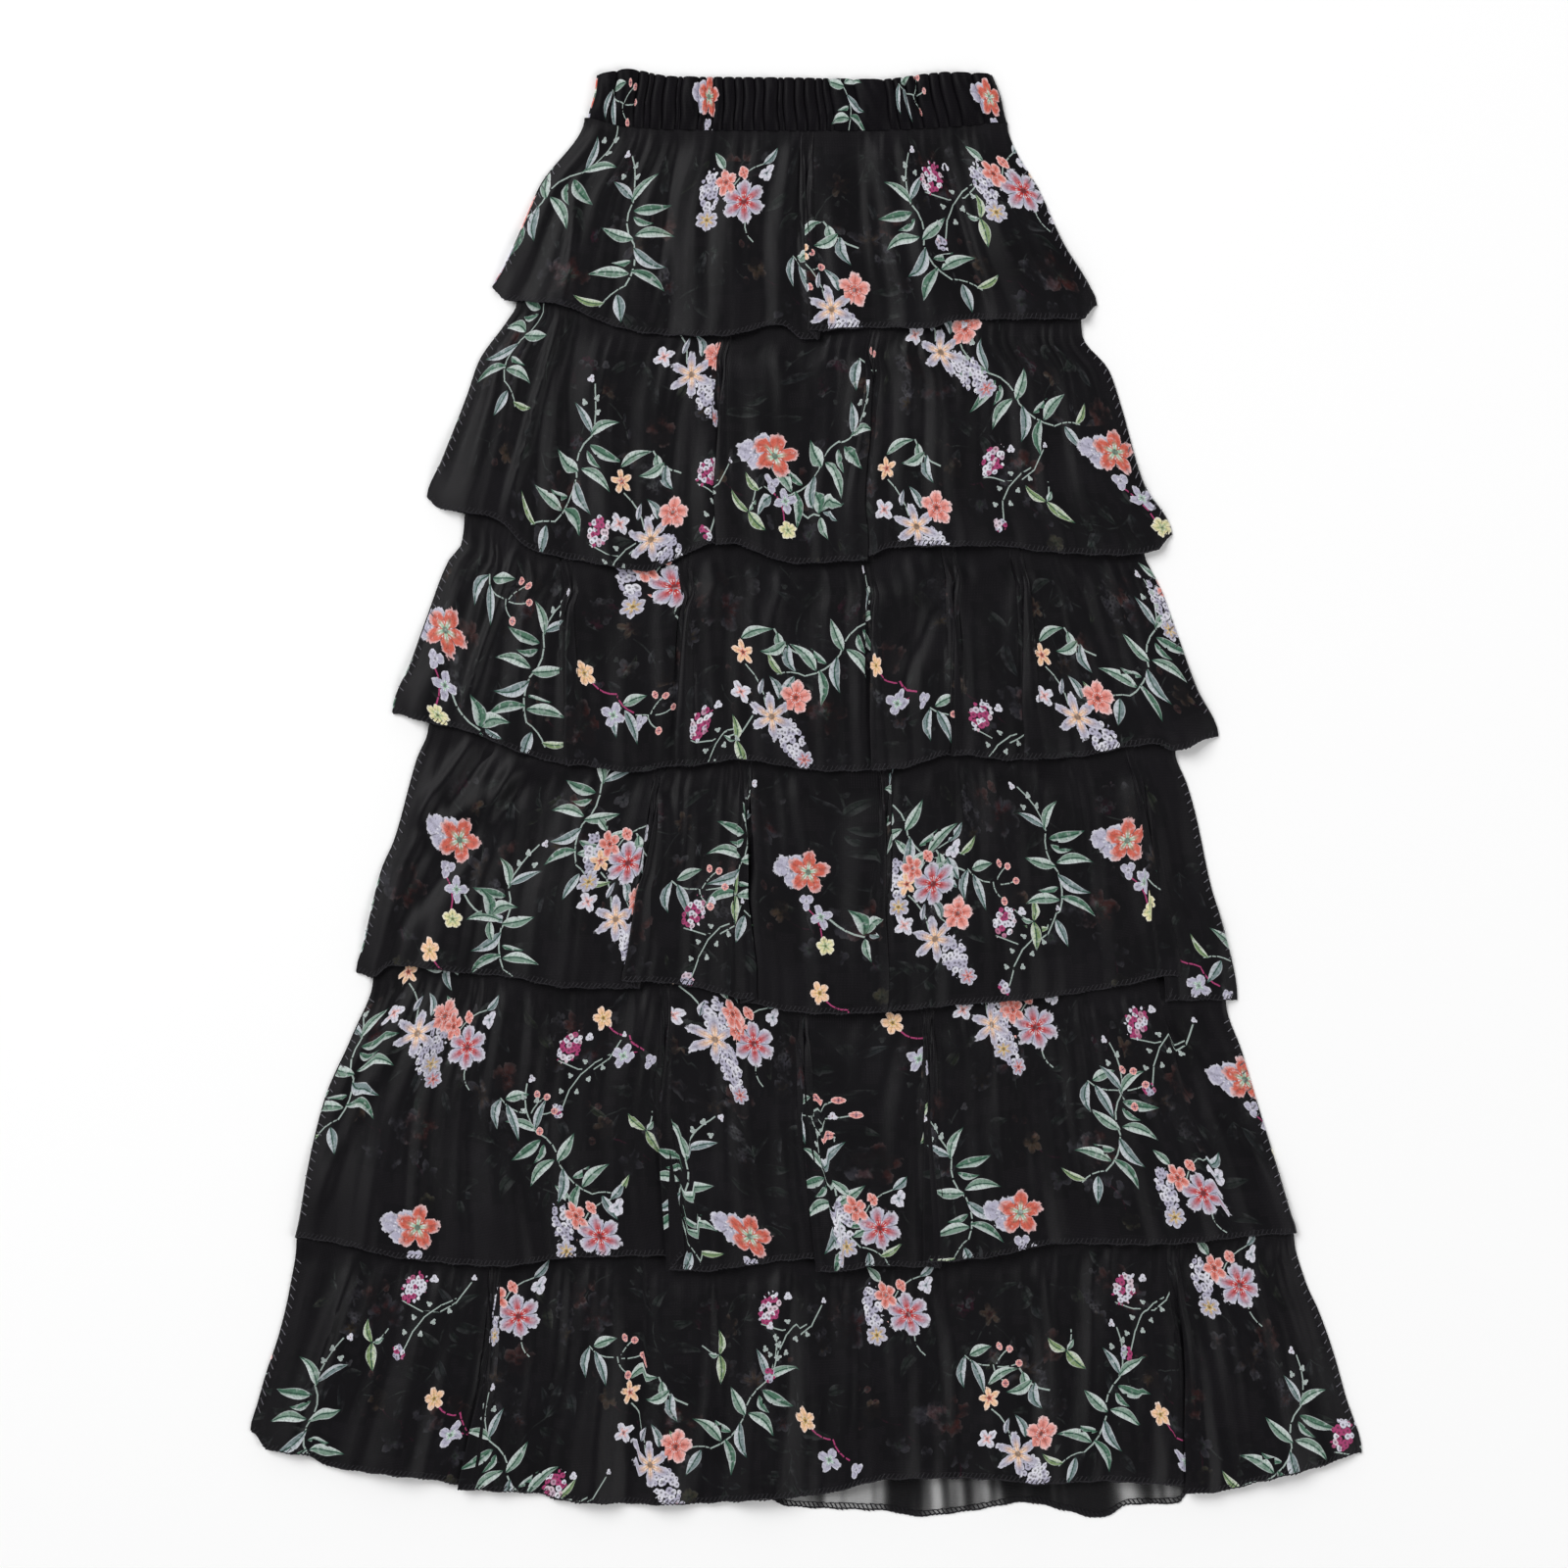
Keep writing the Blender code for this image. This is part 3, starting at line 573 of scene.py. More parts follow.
def sheet_from(name, tube):
    """A grid primitive laid over the tube's points. Its last column lies on its first."""
    rows, columns = tube.shape[:2]
    bpy.ops.object.select_all(action="DESELECT")
    bpy.ops.mesh.primitive_grid_add(x_subdivisions=columns - 1, y_subdivisions=rows - 1, size=1)
    piece = bpy.context.object
    piece.name = piece.data.name = name
    count = len(piece.data.vertices)
    flat = np.empty(count * 3, np.float32)
    piece.data.vertices.foreach_get("co", flat)
    flat = flat.reshape(-1, 3)
    row = np.rint((0.5 - flat[:, 1]) * (rows - 1)).astype(int)
    column = np.rint((flat[:, 0] + 0.5) * (columns - 1)).astype(int)
    piece.data.vertices.foreach_set("co", (tube[row, column] * MM).astype(np.float32).ravel())
    piece.data.update()
    return piece, row, column


def closed_shell(piece, thickness):
    """Join the tube's first and last columns, then give the cloth its thickness."""
    only(piece)
    bpy.ops.object.mode_set(mode="EDIT")
    bpy.ops.mesh.select_all(action="SELECT")
    bpy.ops.mesh.remove_doubles(threshold=1e-6)
    bpy.ops.object.mode_set(mode="OBJECT")
    outer = len(piece.data.polygons)
    wall = piece.modifiers.new("Cloth", "SOLIDIFY")
    wall.thickness = thickness
    wall.offset = 0.0
    bpy.ops.object.modifier_apply(modifier=wall.name)
    bpy.ops.object.shade_smooth_by_angle(angle=radians(50))
    return outer


# The print. Each motif is drawn from petals, leaves, stems and heads of florets, in millimetres
# from the middle of its main flower, x to the right and y up. Turns are in degrees.
Bloom = namedtuple("Bloom", "x y width length turn petals notch point heart tint heart_tint")
Leaf = namedtuple("Leaf", "x0 y0 x1 y1 width tint")
Stem = namedtuple("Stem", "x0 y0 x1 y1 bow width tint", defaults=(0.7, "stem"))
Head = namedtuple("Head", "x y width length turn tint heart_tint")


def pod(x, y, turn, width=3.5):
    """A small three-cornered seed pod."""
    return Bloom(x, y, width, width + 1, turn, 3, 0.4, 1.5, 0.1, "stem", "mist")


def berry(x, y, width=5, length=5, turn=0):
    """A dark berry with a pale rim."""
    return Bloom(x, y, width, length, turn, 4, 0.05, 1.0, 0.5, "pink", "berry")


MOTIFS = {
    "lilac spray": [
        Bloom(0, 0, 31, 30, 8, 6, 0.42, 0.55, 0.60, "lilac", "red"),
        Bloom(-15, 13, 15, 20, 20, 5, 0.45, 0.8, 0.7, "pink", "coral"),
        Bloom(-24, -13, 15, 15, 0, 6, 0.35, 0.6, 0.5, "lilac", "gold"),
        Bloom(-4, 20, 7, 10, 30, 4, 0.15, 1.0, 0.6, "pink", "coral"),
        Bloom(-13, -4, 6, 6, 0, 4, 0.1, 1.0, 0.5, "pink", "coral"),
        Bloom(14, 20, 10, 14, -30, 3, 0.45, 1.0, 0.3, "mist", "slate"),
        Head(-25, 6, 15, 34, 6, "lilac", "mist"),
        Stem(2, -14, 8, -28, 2), Stem(-10, 10, 10, 26, -3),
        Leaf(10, 26, 20, 38, 6, "slate"), Leaf(-18, 22, -28, 34, 6, "sage"),
    ],
    "coral flower": [
        Bloom(-12, 1, 25, 28, 72, 3, 0.35, 0.9, 0.12, "lilac", "mist"),
        Bloom(0, 0, 31, 31, -8, 5, 0.50, 0.9, 0.30, "coral", "mint"),
        Bloom(-1, -20, 11, 13, 180, 3, 0.45, 1.3, 0.2, "lilac", "mist"),
        Stem(-1, -24, 8, -45, -3, 0.8, "magenta"),
        Bloom(10, -51, 13, 13, 10, 5, 0.35, 0.6, 0.45, "butter", "lime"),
        Bloom(9, -31, 16, 18, 15, 4, 0.62, 1.2, 0.25, "lilac", "mint"),
        Stem(15, -33, 33, -45, 2, 1.1),
        Leaf(33, -44, 24, -26, 9, "fern"), Leaf(34, -43, 51, -34, 9, "sage"),
        Leaf(34, -46, 39, -63, 6, "sage"), Leaf(35, -42, 46, -45, 6, "slate"),
    ],
    "star lily": [
        Bloom(0, 0, 32, 32, 6, 6, 0.66, 1.6, 0.42, "lilac", "peach"),
        Head(13, -15, 19, 34, 22, "lilac", "mist"),
        Bloom(17, 13, 22, 24, -10, 5, 0.35, 0.7, 0.55, "pink", "coral"),
        Stem(-4, 8, -17, 32, 3, 0.8),
        Bloom(-19, 40, 15, 17, 12, 5, 0.6, 1.3, 0.3, "peach", "coral"),
        Bloom(-21, 12, 15, 15, -60, 4, 0.5, 1.4, 0.35, "mist", "pink"),
        Leaf(-8, 14, -5, 26, 4, "lilac"), Leaf(6, 12, -2, 28, 6, "slate"),
        Leaf(-20, 49, 2, 60, 7, "sage"), Stem(2, 60, 22, 42, 3, 1.0),
        Leaf(4, 58, 8, 42, 7, "sage"), Leaf(10, 52, -8, 44, 8, "sage"),
        Leaf(12, 50, 18, 30, 8, "slate"),
        Bloom(22, -30, 13, 13, 20, 6, 0.35, 0.7, 0.5, "lilac", "coral"),
    ],
    "leaf stem": [
        Stem(-4, 52, -7, 18, 3, 0.8), Stem(-7, 18, 0, -10, -4, 0.9),
        Stem(0, -10, 14, -34, 3, 0.9), Stem(14, -34, 31, -41, -2),
        Leaf(-6, 18, -26, 31, 7, "sage"), Leaf(-7, 20, 7, 38, 6, "slate"),
        Leaf(-6, 12, -31, 5, 8, "fern"), Leaf(-2, -5, -25, -17, 8, "sage"),
        Leaf(-5, 8, -17, -2, 5, "fern"), Leaf(5, -20, 20, -15, 5, "fern"),
        Leaf(-1, -7, 18, 9, 8, "sage"), Leaf(1, -12, -13, -34, 8, "slate"),
        Leaf(8, -26, -5, -49, 7, "fern"), Leaf(9, -28, 34, -19, 8, "sage"),
        Leaf(20, -37, 23, -57, 7, "slate"), Leaf(28, -40, 44, -30, 5, "lime"),
        pod(-8, 44, 20, 4), pod(0, 39, -30, 4), pod(-10, 35, 50, 4),
        Bloom(0, 55, 5, 6, 0, 3, 0.4, 1.5, 0.1, "mist", "pink"),
    ],
    "panicle": [
        Head(0, 1, 17, 25, -24, "magenta", "mist"),
        Stem(-6, -9, 36, 6, 13), Stem(31, -3, 0, -42, 7),
        Head(-3, -44, 9, 12, 20, "lilac", "magenta"),
        pod(25, -13, 20), pod(12, -9, 60), pod(16, -21, -20), pod(3, -19, 40), pod(9, -30, 0),
        pod(-2, -30, 30),
        Bloom(13, 8, 6, 6, 0, 3, 0.3, 1.5, 0.2, "mist", "stem"),
        Bloom(38, 10, 3.5, 4.5, 0, 3, 0.4, 1.5, 0.2, "mist", "stem"),
    ],
    "peach flower": [
        Bloom(0, 0, 14, 17, 20, 5, 0.45, 0.8, 0.35, "peach", "gold"),
        Stem(5, -6, 20, -12, 2, 0.9, "magenta"), Stem(20, -12, 31, -25, 2, 0.9, "magenta"),
        Bloom(17, -26, 17, 18, -25, 4, 0.55, 1.1, 0.28, "lilac", "mint"),
        Bloom(36, -32, 8, 12, 160, 3, 0.4, 1.3, 0.2, "lilac", "mist"),
        Stem(24, -26, 31, -25, 0, 0.8, "magenta"),
    ],
    "berry stem": [
        Stem(0, 0, 17, -8, 2), Stem(17, -8, 38, -7, 2),
        Stem(20, -8, 28, -20, 2), Stem(22, -8, 31, 3, -1),
        Leaf(0, 0, -1, -22, 7, "slate"), Leaf(4, -3, 13, -28, 7, "slate"),
        Leaf(3, 0, 20, 5, 8, "sage"),
        berry(38, -7), berry(32, 3), berry(28, -21, 5, 6), berry(25, 5, 4, 6, 20),
    ],
    "lime leaves": [
        Leaf(0, 0, -5, 17, 6, "lime"), Leaf(0, 0, 5, -20, 8, "lime"), Leaf(1, 0, 8, 4, 4, "sage"),
        Stem(1, 0, 10, 10, 1),
    ],
}

# The main flower's place for each motif on the front of each tier, x then y.
SCATTER = {
    "lilac spray": {
        1: [(-42, 407), (151, 419)], 3: [(-91, 144)], 4: [(-123, -47), (89, -64)],
        5: [(-234, -173), (-35, -173), (159, -159), (-144, -303), (50, -300), (274, -274)],
        6: [(-199, -358), (72, -357), (300, -339)]},
    "coral flower": {
        2: [(-21, 232), (212, 238)], 3: [(-251, 112)], 4: [(-240, -32), (1, -55), (221, -35)],
        5: [(-268, -300), (-40, -303), (147, -288), (303, -196)]},
    "star lily": {
        1: [(18, 335)], 2: [(-79, 290), (93, 304), (-107, 175), (76, 181)],
        3: [(-24, 56), (187, 56)], 4: [(-132, -86), (88, -100)],
        5: [(-268, -165), (-63, -172), (128, -159)], 6: [(-107, -464), (146, -452)]},
    "leaf stem": {
        1: [(-174, 420), (-122, 388), (80, 390)],
        2: [(-189, 320), (-156, 230), (13, 234), (141, 278)],
        3: [(-185, 88), (27, 105), (235, 95)],
        4: [(-208, -85), (-147, -14), (-42, -42), (66, -17), (168, -44)],
        5: [(-313, -190), (-174, -247), (-86, -274), (19, -274), (105, -268), (215, -227)],
        6: [(-340, -425), (-208, -461), (-39, -423), (208, -417), (334, -440)]},
    "panicle": {
        1: [(86, 426)], 2: [(-145, 178), (-67, 222), (128, 230)], 3: [(-74, 49), (121, 50)],
        4: [(-77, -81), (136, -89)], 5: [(-164, -178), (229, -157)],
        6: [(-270, -343), (-26, -356), (220, -343), (-175, -476), (370, -444)]},
    "peach flower": {
        3: [(-153, 84), (48, 88)], 4: [(-260, -105), (9, -135), (250, -108)],
        5: [(-140, -154), (59, -157)], 6: [(-257, -418), (0, -431), (246, -425)]},
    "berry stem": {
        1: [(-10, 370)], 2: [(38, 300)], 3: [(-130, 60), (85, 62), (-220, 150)],
        4: [(-92, -60), (112, -52)], 5: [(-210, -210), (195, -200), (0, -215)],
        6: [(-150, -380), (110, -385)]},
    "lime leaves": {
        1: [(120, 400)], 2: [(-40, 195), (165, 200)], 3: [(-48, 40)], 4: [(-48, -68), (158, -85)],
        5: [(-110, -230), (85, -225)], 6: [(-60, -390), (180, -385), (-300, -380)]},
}
BAND_SCATTER = [("coral flower", -67, 482), ("coral flower", 127, 481), ("leaf stem", 24, 494),
                ("berry stem", -134, 486), ("berry stem", 64, 488)]

BAND_BACK_PRINT = [("coral flower", step, 18, 0.7) for step in (90, 290, 480)]

# The band's gathers narrow its print by this much beside the tiers'.
BAND_SQUEEZE = 2.0

# One repeat of the print as it lies on the backs, and faintly where the back shows through the
# front: the motif and its place along and down the cloth. It moves on from tier to tier, and
# keeps clear of the sides.
REPEAT_ALONG = 196.0
REPEAT = [
    ("lilac spray", 30, 38), ("leaf stem", 78, 52), ("panicle", 112, 30), ("star lily", 150, 78),
    ("peach flower", 42, 96), ("coral flower", 96, 104), ("berry stem", 4, 84),
    ("lime leaves", 186, 28), ("leaf stem", 178, 122),
]
GHOST_INK = 0.045
GHOST_SHIFT = 83.0
TIER_SHIFT = 57.0
REPEAT_STRETCH = 0.95
BACK_MARGIN = 15.0
GHOST_MARGIN = 10.0

# No motif reaches further than this from its main flower. Some lean, up to so many degrees, and
# are turned over.
MOTIF_REACH = 75.0
LEANING = ("leaf stem", "lime leaves")
LEAN = 30.0
OFF_CLOTH = 1e4

# How far along the cloth its stretch is measured, either way from a motif, the percentile that
# counts, and its limits. Near a motif's place, the topmost layer is preferred by this much.
STRETCH_REACH = 26.0
STRETCH_PERCENTILE = 75
STRETCH_LIMITS = (0.75, 1.05)
LAYERS_WITHIN = 6.0
TOPMOST = 0.6

# How far a leaf bends sideways, in half widths, and the straight pieces of a bowed stem.
LEAF_BEND = 1.0
STEM_PIECES = 4

# What each channel of the print holds where nothing is printed.
BLOOMS = ("bloom_a", "bloom_b")
LEAVES = ("leaf_a", "leaf_b")
FAR = 9.0
NO_INK = (0.0, 0.0, 0.0, 0.0)
CHANNELS = {"stem": (FAR, FAR, 0.1), "stem_tint": NO_INK,
            "head": (FAR, FAR, 0.0), "head_tint": NO_INK, "head_heart": NO_INK}
for channel in BLOOMS:
    CHANNELS.update({channel: (FAR, FAR, 2.5), channel + "_form": (0.3, 1.0, 0.3),
                     channel + "_tint": NO_INK, channel + "_heart": NO_INK})
for channel in LEAVES:
    CHANNELS.update({channel: (FAR, FAR, 0.0), channel + "_tint": NO_INK})

# How far past an element's outline a face may lie and still carry it.
FACE_REACH = 4.0


def turned(row, x, y):
    """Places across and up a bloom or a head, 1 at its outline."""
    turn = radians(row.turn)
    off_x, off_y = x - row.x, y - row.y
    across = (off_x * np.cos(turn) + off_y * np.sin(turn)) * 2 / row.width
    up = (off_y * np.cos(turn) - off_x * np.sin(turn)) * 2 / row.length
    return across, up


class Ink:
    """The print on one sheet: each channel's value at each corner of each face."""

    def __init__(self, along, down, colours):
        self.along, self.down, self.colours = along, down, colours
        shape = along.shape
        self.values = {name: np.tile(np.array(blank), shape + (1,))
                       for name, blank in CHANNELS.items()}
        self.start_again()

    def start_again(self):
        """Let what is drawn next cover all that is already there."""
        names = ("stem", "head", *BLOOMS, *LEAVES)
        self.nearest = {name: np.full(len(self.along), FACE_REACH) for name in names}

    def tint(self, name, ink):
        return (*getattr(self.colours, name), ink)

    def claim(self, channel, outside):
        """Faces that lie nearer this element's outline than that of any before it."""
        near = np.mean(outside, axis=1)
        mine = near < self.nearest[channel]
        self.nearest[channel][mine] = near[mine]
        return mine

    def write(self, name, mine, *parts):
        for k, part in enumerate(parts):
            self.values[name][mine, :, k] = part[mine] if np.ndim(part) else part

    def draw(self, motif, along, down, stretch, ink):
        """Print one motif with its main flower at this place along and down the cloth."""
        x, y = (self.along - along) * stretch, down - self.down
        if motif in LEANING:
            lean = radians(LEAN * np.sin(0.7 * along))
            x, y = x * np.cos(lean) + y * np.sin(lean), y * np.cos(lean) - x * np.sin(lean)
            x = x * (1 if np.sin(0.31 * along) > 0 else -1)
        nearby = np.hypot(x, y).min(axis=1) < MOTIF_REACH
        x, y = (np.where(nearby[:, None], value, OFF_CLOTH) for value in (x, y))
        for k, row in enumerate(MOTIFS[motif]):
            getattr(self, type(row).__name__.lower())(row, k, x, y, ink)

    def bloom(self, row, k, x, y, ink):
        channel = BLOOMS[k % 2]
        side, up = turned(row, x, y)
        mine = self.claim(channel, (np.hypot(side, up) - 1) * row.width / 2)
        self.write(channel, mine, up, side, row.petals / 2)
        self.write(channel + "_form", mine, row.notch, row.point, row.heart)
        self.write(channel + "_tint", mine, *self.tint(row.tint, ink))
        self.write(channel + "_heart", mine, *self.tint(row.heart_tint, ink))

    def leaf(self, row, k, x, y, ink):
        channel = LEAVES[k % 2]
        run_x, run_y = row.x1 - row.x0, row.y1 - row.y0
        length = np.hypot(run_x, run_y)
        s = 2 * ((x - row.x0) * run_x + (y - row.y0) * run_y) / length ** 2 - 1
        t = ((x - row.x0) * run_y - (y - row.y0) * run_x) / length * 2 / row.width
        t = t + LEAF_BEND * np.sin(2.4 * k + 1) * (1 - np.minimum(s * s, 1))
        outside = np.maximum((np.abs(s) - 1) * length / 2, (np.abs(t) - 1) * row.width / 2)
        mine = self.claim(channel, outside)
        self.write(channel, mine, s, t, length / row.width)
        self.write(channel + "_tint", mine, *self.tint(row.tint, ink))

    def stem(self, row, k, x, y, ink):
        steps = np.linspace(0, 1, STEM_PIECES + 1)
        run_x, run_y = row.x1 - row.x0, row.y1 - row.y0
        length = np.hypot(run_x, run_y)
        bow = 4 * row.bow * steps * (1 - steps)
        path_x = row.x0 + run_x * steps + run_y / length * bow
        path_y = row.y0 + run_y * steps - run_x / length * bow
        for x0, y0, x1, y1 in zip(path_x, path_y, path_x[1:], path_y[1:]):
            span = np.hypot(x1 - x0, y1 - y0)
            s = 2 * ((x - x0) * (x1 - x0) + (y - y0) * (y1 - y0)) / span ** 2 - 1
            off = ((x - x0) * (y1 - y0) - (y - y0) * (x1 - x0)) / span
            outside = np.maximum((np.abs(s) - 1) * span / 2, np.abs(off) - row.width)
            mine = self.claim("stem", outside)
            self.write("stem", mine, off, s, row.width / 2)
            self.write("stem_tint", mine, *self.tint(row.tint, ink))

    def head(self, row, k, x, y, ink):
        side, up = turned(row, x, y)
        mine = self.claim("head", (np.hypot(side, up) - 1) * row.width / 2)
        self.write("head", mine, side, up, 0.0)
        self.write("head_tint", mine, *self.tint(row.tint, ink))
        self.write("head_heart", mine, *self.tint(row.heart_tint, ink))

    def printed(self):
        """Which faces carry any of the print."""
        inked = [self.values[name][:, 0, 3] > 0 for name in CHANNELS if name.endswith("_tint")]
        return np.any(inked, axis=0)

    def apply(self, mesh):
        for name, values in self.values.items():
            is_colour = values.shape[-1] == 4
            kind, field = ("FLOAT_COLOR", "color") if is_colour else ("FLOAT_VECTOR", "vector")
            layer = mesh.attributes.new(name, kind, "CORNER")
            layer.data.foreach_set(field, values.astype(np.float32).ravel())
        layer = mesh.uv_layers.new(name="cloth")
        flat = np.stack([self.along, self.down], axis=-1) * MM
        layer.data.foreach_set("uv", flat.astype(np.float32).ravel())


def print_place(front, along, downs, x, y):
    """Where (x, y) lies on the topmost cloth there: along, down and the cloth's stretch."""
    off = np.hypot(front[..., 0] - x, front[..., 1] - y)
    score = off - TOPMOST * front[..., 2] * (off < LAYERS_WITHIN)
    row, column = np.unravel_index(np.argmin(score), score.shape)
    near = np.flatnonzero(np.abs(along[:-1] - along[column]) < STRETCH_REACH)
    steps = np.abs(np.diff(front[row, :, 0])[near]) / np.diff(along)[near]
    stretch = np.clip(np.percentile(steps, STRETCH_PERCENTILE), *STRETCH_LIMITS)
    return along[column], downs[row, column], float(stretch)


class Finish:
    """A material and short words for the nodes that make its pattern."""

    def __init__(self, name):
        self.material = bpy.data.materials.new(name)
        self.material.use_nodes = True
        self.tree = self.material.node_tree
        self.shader = self.tree.nodes["Principled BSDF"]
        self.ghost_patches = None

    def node(self, kind, values=(), **settings):
        """A node with these settings, its inputs given as values or sockets from the top."""
        node = self.tree.nodes.new(kind)
        for name, setting in settings.items():
            setattr(node, name, setting)
        for socket, value in zip(node.inputs, values):
            if isinstance(value, bpy.types.NodeSocket):
                self.tree.links.new(value, socket)
            elif value is not None:
                socket.default_value = value
        return node

    def math(self, operation, *values):
        return self.node("ShaderNodeMath", values, operation=operation).outputs[0]

    def times(self, a, b):
        return self.math("MULTIPLY", a, b)

    def step(self, low, high, value):
        """0 at low and 1 at high with a soft step between, also where high is the lower."""
        start, end = (0.0, 1.0) if low < high else (1.0, 0.0)
        low, high = min(low, high), max(low, high)
        node = self.node("ShaderNodeMapRange", (value, low, high, start, end),
                         interpolation_type="SMOOTHSTEP")
        return node.outputs[0]

    def blend(self, share, below, above, most=1.0):
        """The colour below, covered by the colour above as far as the share of the most says."""
        if most < 1.0:
            share = self.times(share, most)
        node = self.node("ShaderNodeMix", data_type="RGBA")
        for socket, value in zip((node.inputs[0], node.inputs[6], node.inputs[7]),
                                 (share, below, above)):
            if isinstance(value, bpy.types.NodeSocket):
                self.tree.links.new(value, socket)
            else:
                socket.default_value = value
        return node.outputs[2]

    def channel(self, name):
        """The three values of one of the print's channels."""
        attribute = self.node("ShaderNodeAttribute", attribute_name=name)
        return self.node("ShaderNodeSeparateXYZ", (attribute.outputs["Vector"],)).outputs

    def ink(self, name):
        """A channel's colour and how much of it prints. A ghost's faint ink comes and goes."""
        attribute = self.node("ShaderNodeAttribute", attribute_name=name)
        ink = attribute.outputs["Alpha"]
        return attribute.outputs["Color"], self.times(ink, self.math("MAXIMUM", ink, self.ghost_patches))

    def heart(self, name):
        """A channel's second colour."""
        return self.node("ShaderNodeAttribute", attribute_name=name + "_heart").outputs["Color"]

    def radius(self, across, up):
        squares = self.math("MULTIPLY_ADD", across, across, self.times(up, up))
        return self.math("SQRT", squares)

    def bump(self, strength, depth, height):
        node = self.node("ShaderNodeBump", (strength, depth, None, height))
        self.tree.links.new(node.outputs[0], self.shader.inputs["Normal"])

    def cloth_place(self, along, down):
        """The cloth's own coordinates in metres, times these two scales."""
        place = self.node("ShaderNodeUVMap", uv_map="cloth").outputs[0]
        return self.node("ShaderNodeMapping", (place, (0, 0, 0), (0, 0, 0), (along, down, 1))).outputs[0]

    def noise(self, place, scale, detail):
        return self.node("ShaderNodeTexNoise", (place, None, scale, detail)).outputs["Fac"]

    def connect(self, name, socket):
        self.tree.links.new(socket, self.shader.inputs[name])


PALE = (0.78, 0.78, 0.82, 1)
SHADOW = (0.030, 0.024, 0.030, 1)

# Scales of the cloth's patterns along and down it: the net's holes and the rumples to a metre,
# the see-through pleats of a single layer, and the florets in a head.
NET = (1150, 950)
RUMPLES = (95, 17)
PLEATS = (34, 3)
FLORETS = (270, 270)

# Sizes of the uneven patches in the cloth, the ink, the ghosts, the ink's grain, and the thread's fibres
# with their painted highlights.
CLOTH_PATCHES = 26.0
INK_PATCHES = 300.0
GHOST_PATCHES = 75.0
INK_GRAIN = 700.0
THREAD_TWIST = 1400.0

# How strongly the single and the doubled mesh shine, and how rough the mesh and the thread are.
TIER_SHINE = 0.12
BAND_SHINE = 0.055
MESH_ROUGHNESS = 0.45
THREAD_SHINE = 0.17
THREAD_ROUGHNESS = 0.6


def mottled(finish, paint, patches):
    """Uneven ink: paler and darker patches over this colour."""
    paler = finish.blend(finish.step(0.52, 0.75, patches), paint, PALE, 0.40)
    return finish.blend(finish.step(0.46, 0.28, patches), paler, SHADOW, 0.38)


def bloom_layer(finish, below, channel, patches):
    """Round or pointed petals about a heart, with a dark eye and a ring of pale anthers."""
    across, up, half_petals = finish.channel(channel)
    notch, point, heart = finish.channel(channel + "_form")
    petal, ink = finish.ink(channel + "_tint")
    radius = finish.radius(across, up)
    angle = finish.times(finish.math("ARCTAN2", up, across), half_petals)
    wave = finish.math("ABSOLUTE", finish.math("COSINE", angle))
    lobe = finish.math("SUBTRACT", finish.math("POWER", wave, point), 1.0)
    ragged = finish.math("MULTIPLY_ADD", patches, 0.5, 0.75)
    share = finish.math("DIVIDE", radius, finish.math("MULTIPLY_ADD", lobe, notch, ragged))

    # The heart runs out along the petals, and the petals' edges are pale.
    rays = finish.math("DIVIDE", radius, finish.math("MULTIPLY_ADD", wave, heart, 0.06))
    paint = finish.blend(finish.step(1.7, 0.35, rays), petal, finish.heart(channel))
    paint = finish.blend(finish.step(0.78, 0.98, share), paint, PALE, 0.45)

    # Dark partings between the petals, and a faint line down each one.
    parting = finish.times(finish.step(0.20, 0.02, wave), finish.step(0.15, 0.5, share))
    paint = finish.blend(parting, paint, SHADOW, 0.6)
    paint = finish.blend(finish.step(0.965, 1.0, wave), paint, SHADOW, 0.22)

    # A ring of anthers about the eye.
    anthers = finish.math("ABSOLUTE", finish.math("SINE", finish.times(angle, 3.0)))
    ring = finish.times(finish.step(0.22, 0.26, radius), finish.step(0.36, 0.32, radius))
    paint = finish.blend(finish.times(finish.step(0.75, 0.95, anthers), ring), paint, PALE, 0.7)
    paint = finish.blend(finish.step(0.17, 0.10, radius), paint, SHADOW, 0.7)
    cover = finish.times(finish.step(1.03, 0.97, share), ink)
    return finish.blend(cover, below, mottled(finish, paint, patches))


def leaf_layer(finish, below, channel, dark, patches):
    """Lance-shaped leaves with a midrib, slanted veins, two-tone halves and a pale edge."""
    along, across, slenderness = finish.channel(channel)
    leaf, ink = finish.ink(channel + "_tint")
    rounded = finish.math("MAXIMUM", finish.math("SUBTRACT", 1.0, finish.times(along, along)), 0.0)
    profile = finish.times(rounded, finish.math("MULTIPLY_ADD", along, -0.40, 0.92))
    off = finish.math("ABSOLUTE", across)

    # Veins at a slant, one half in shade and the other paler.
    slant = finish.math("MULTIPLY_ADD", off, -4.0, finish.times(finish.times(along, slenderness), 8.0))
    veins = finish.times(finish.step(0.55, 0.95, finish.math("SINE", slant)), 0.5)
    shaded_half = finish.times(finish.step(-0.1, 0.1, across), 0.4)
    paint = finish.blend(finish.math("MAXIMUM", veins, shaded_half), leaf, dark)
    paint = finish.blend(finish.step(0.0, -0.5, across), paint, PALE, 0.4)

    # A pale edge and a dark midrib.
    towards_edge = finish.math("DIVIDE", off, finish.math("ADD", profile, 0.02))
    paint = finish.blend(finish.step(0.72, 0.96, towards_edge), paint, PALE, 0.55)
    paint = finish.blend(finish.step(0.17, 0.06, off), paint, dark)
    cover = finish.times(finish.step(-0.02, 0.08, finish.math("SUBTRACT", profile, off)), ink)
    return finish.blend(cover, below, mottled(finish, paint, patches))


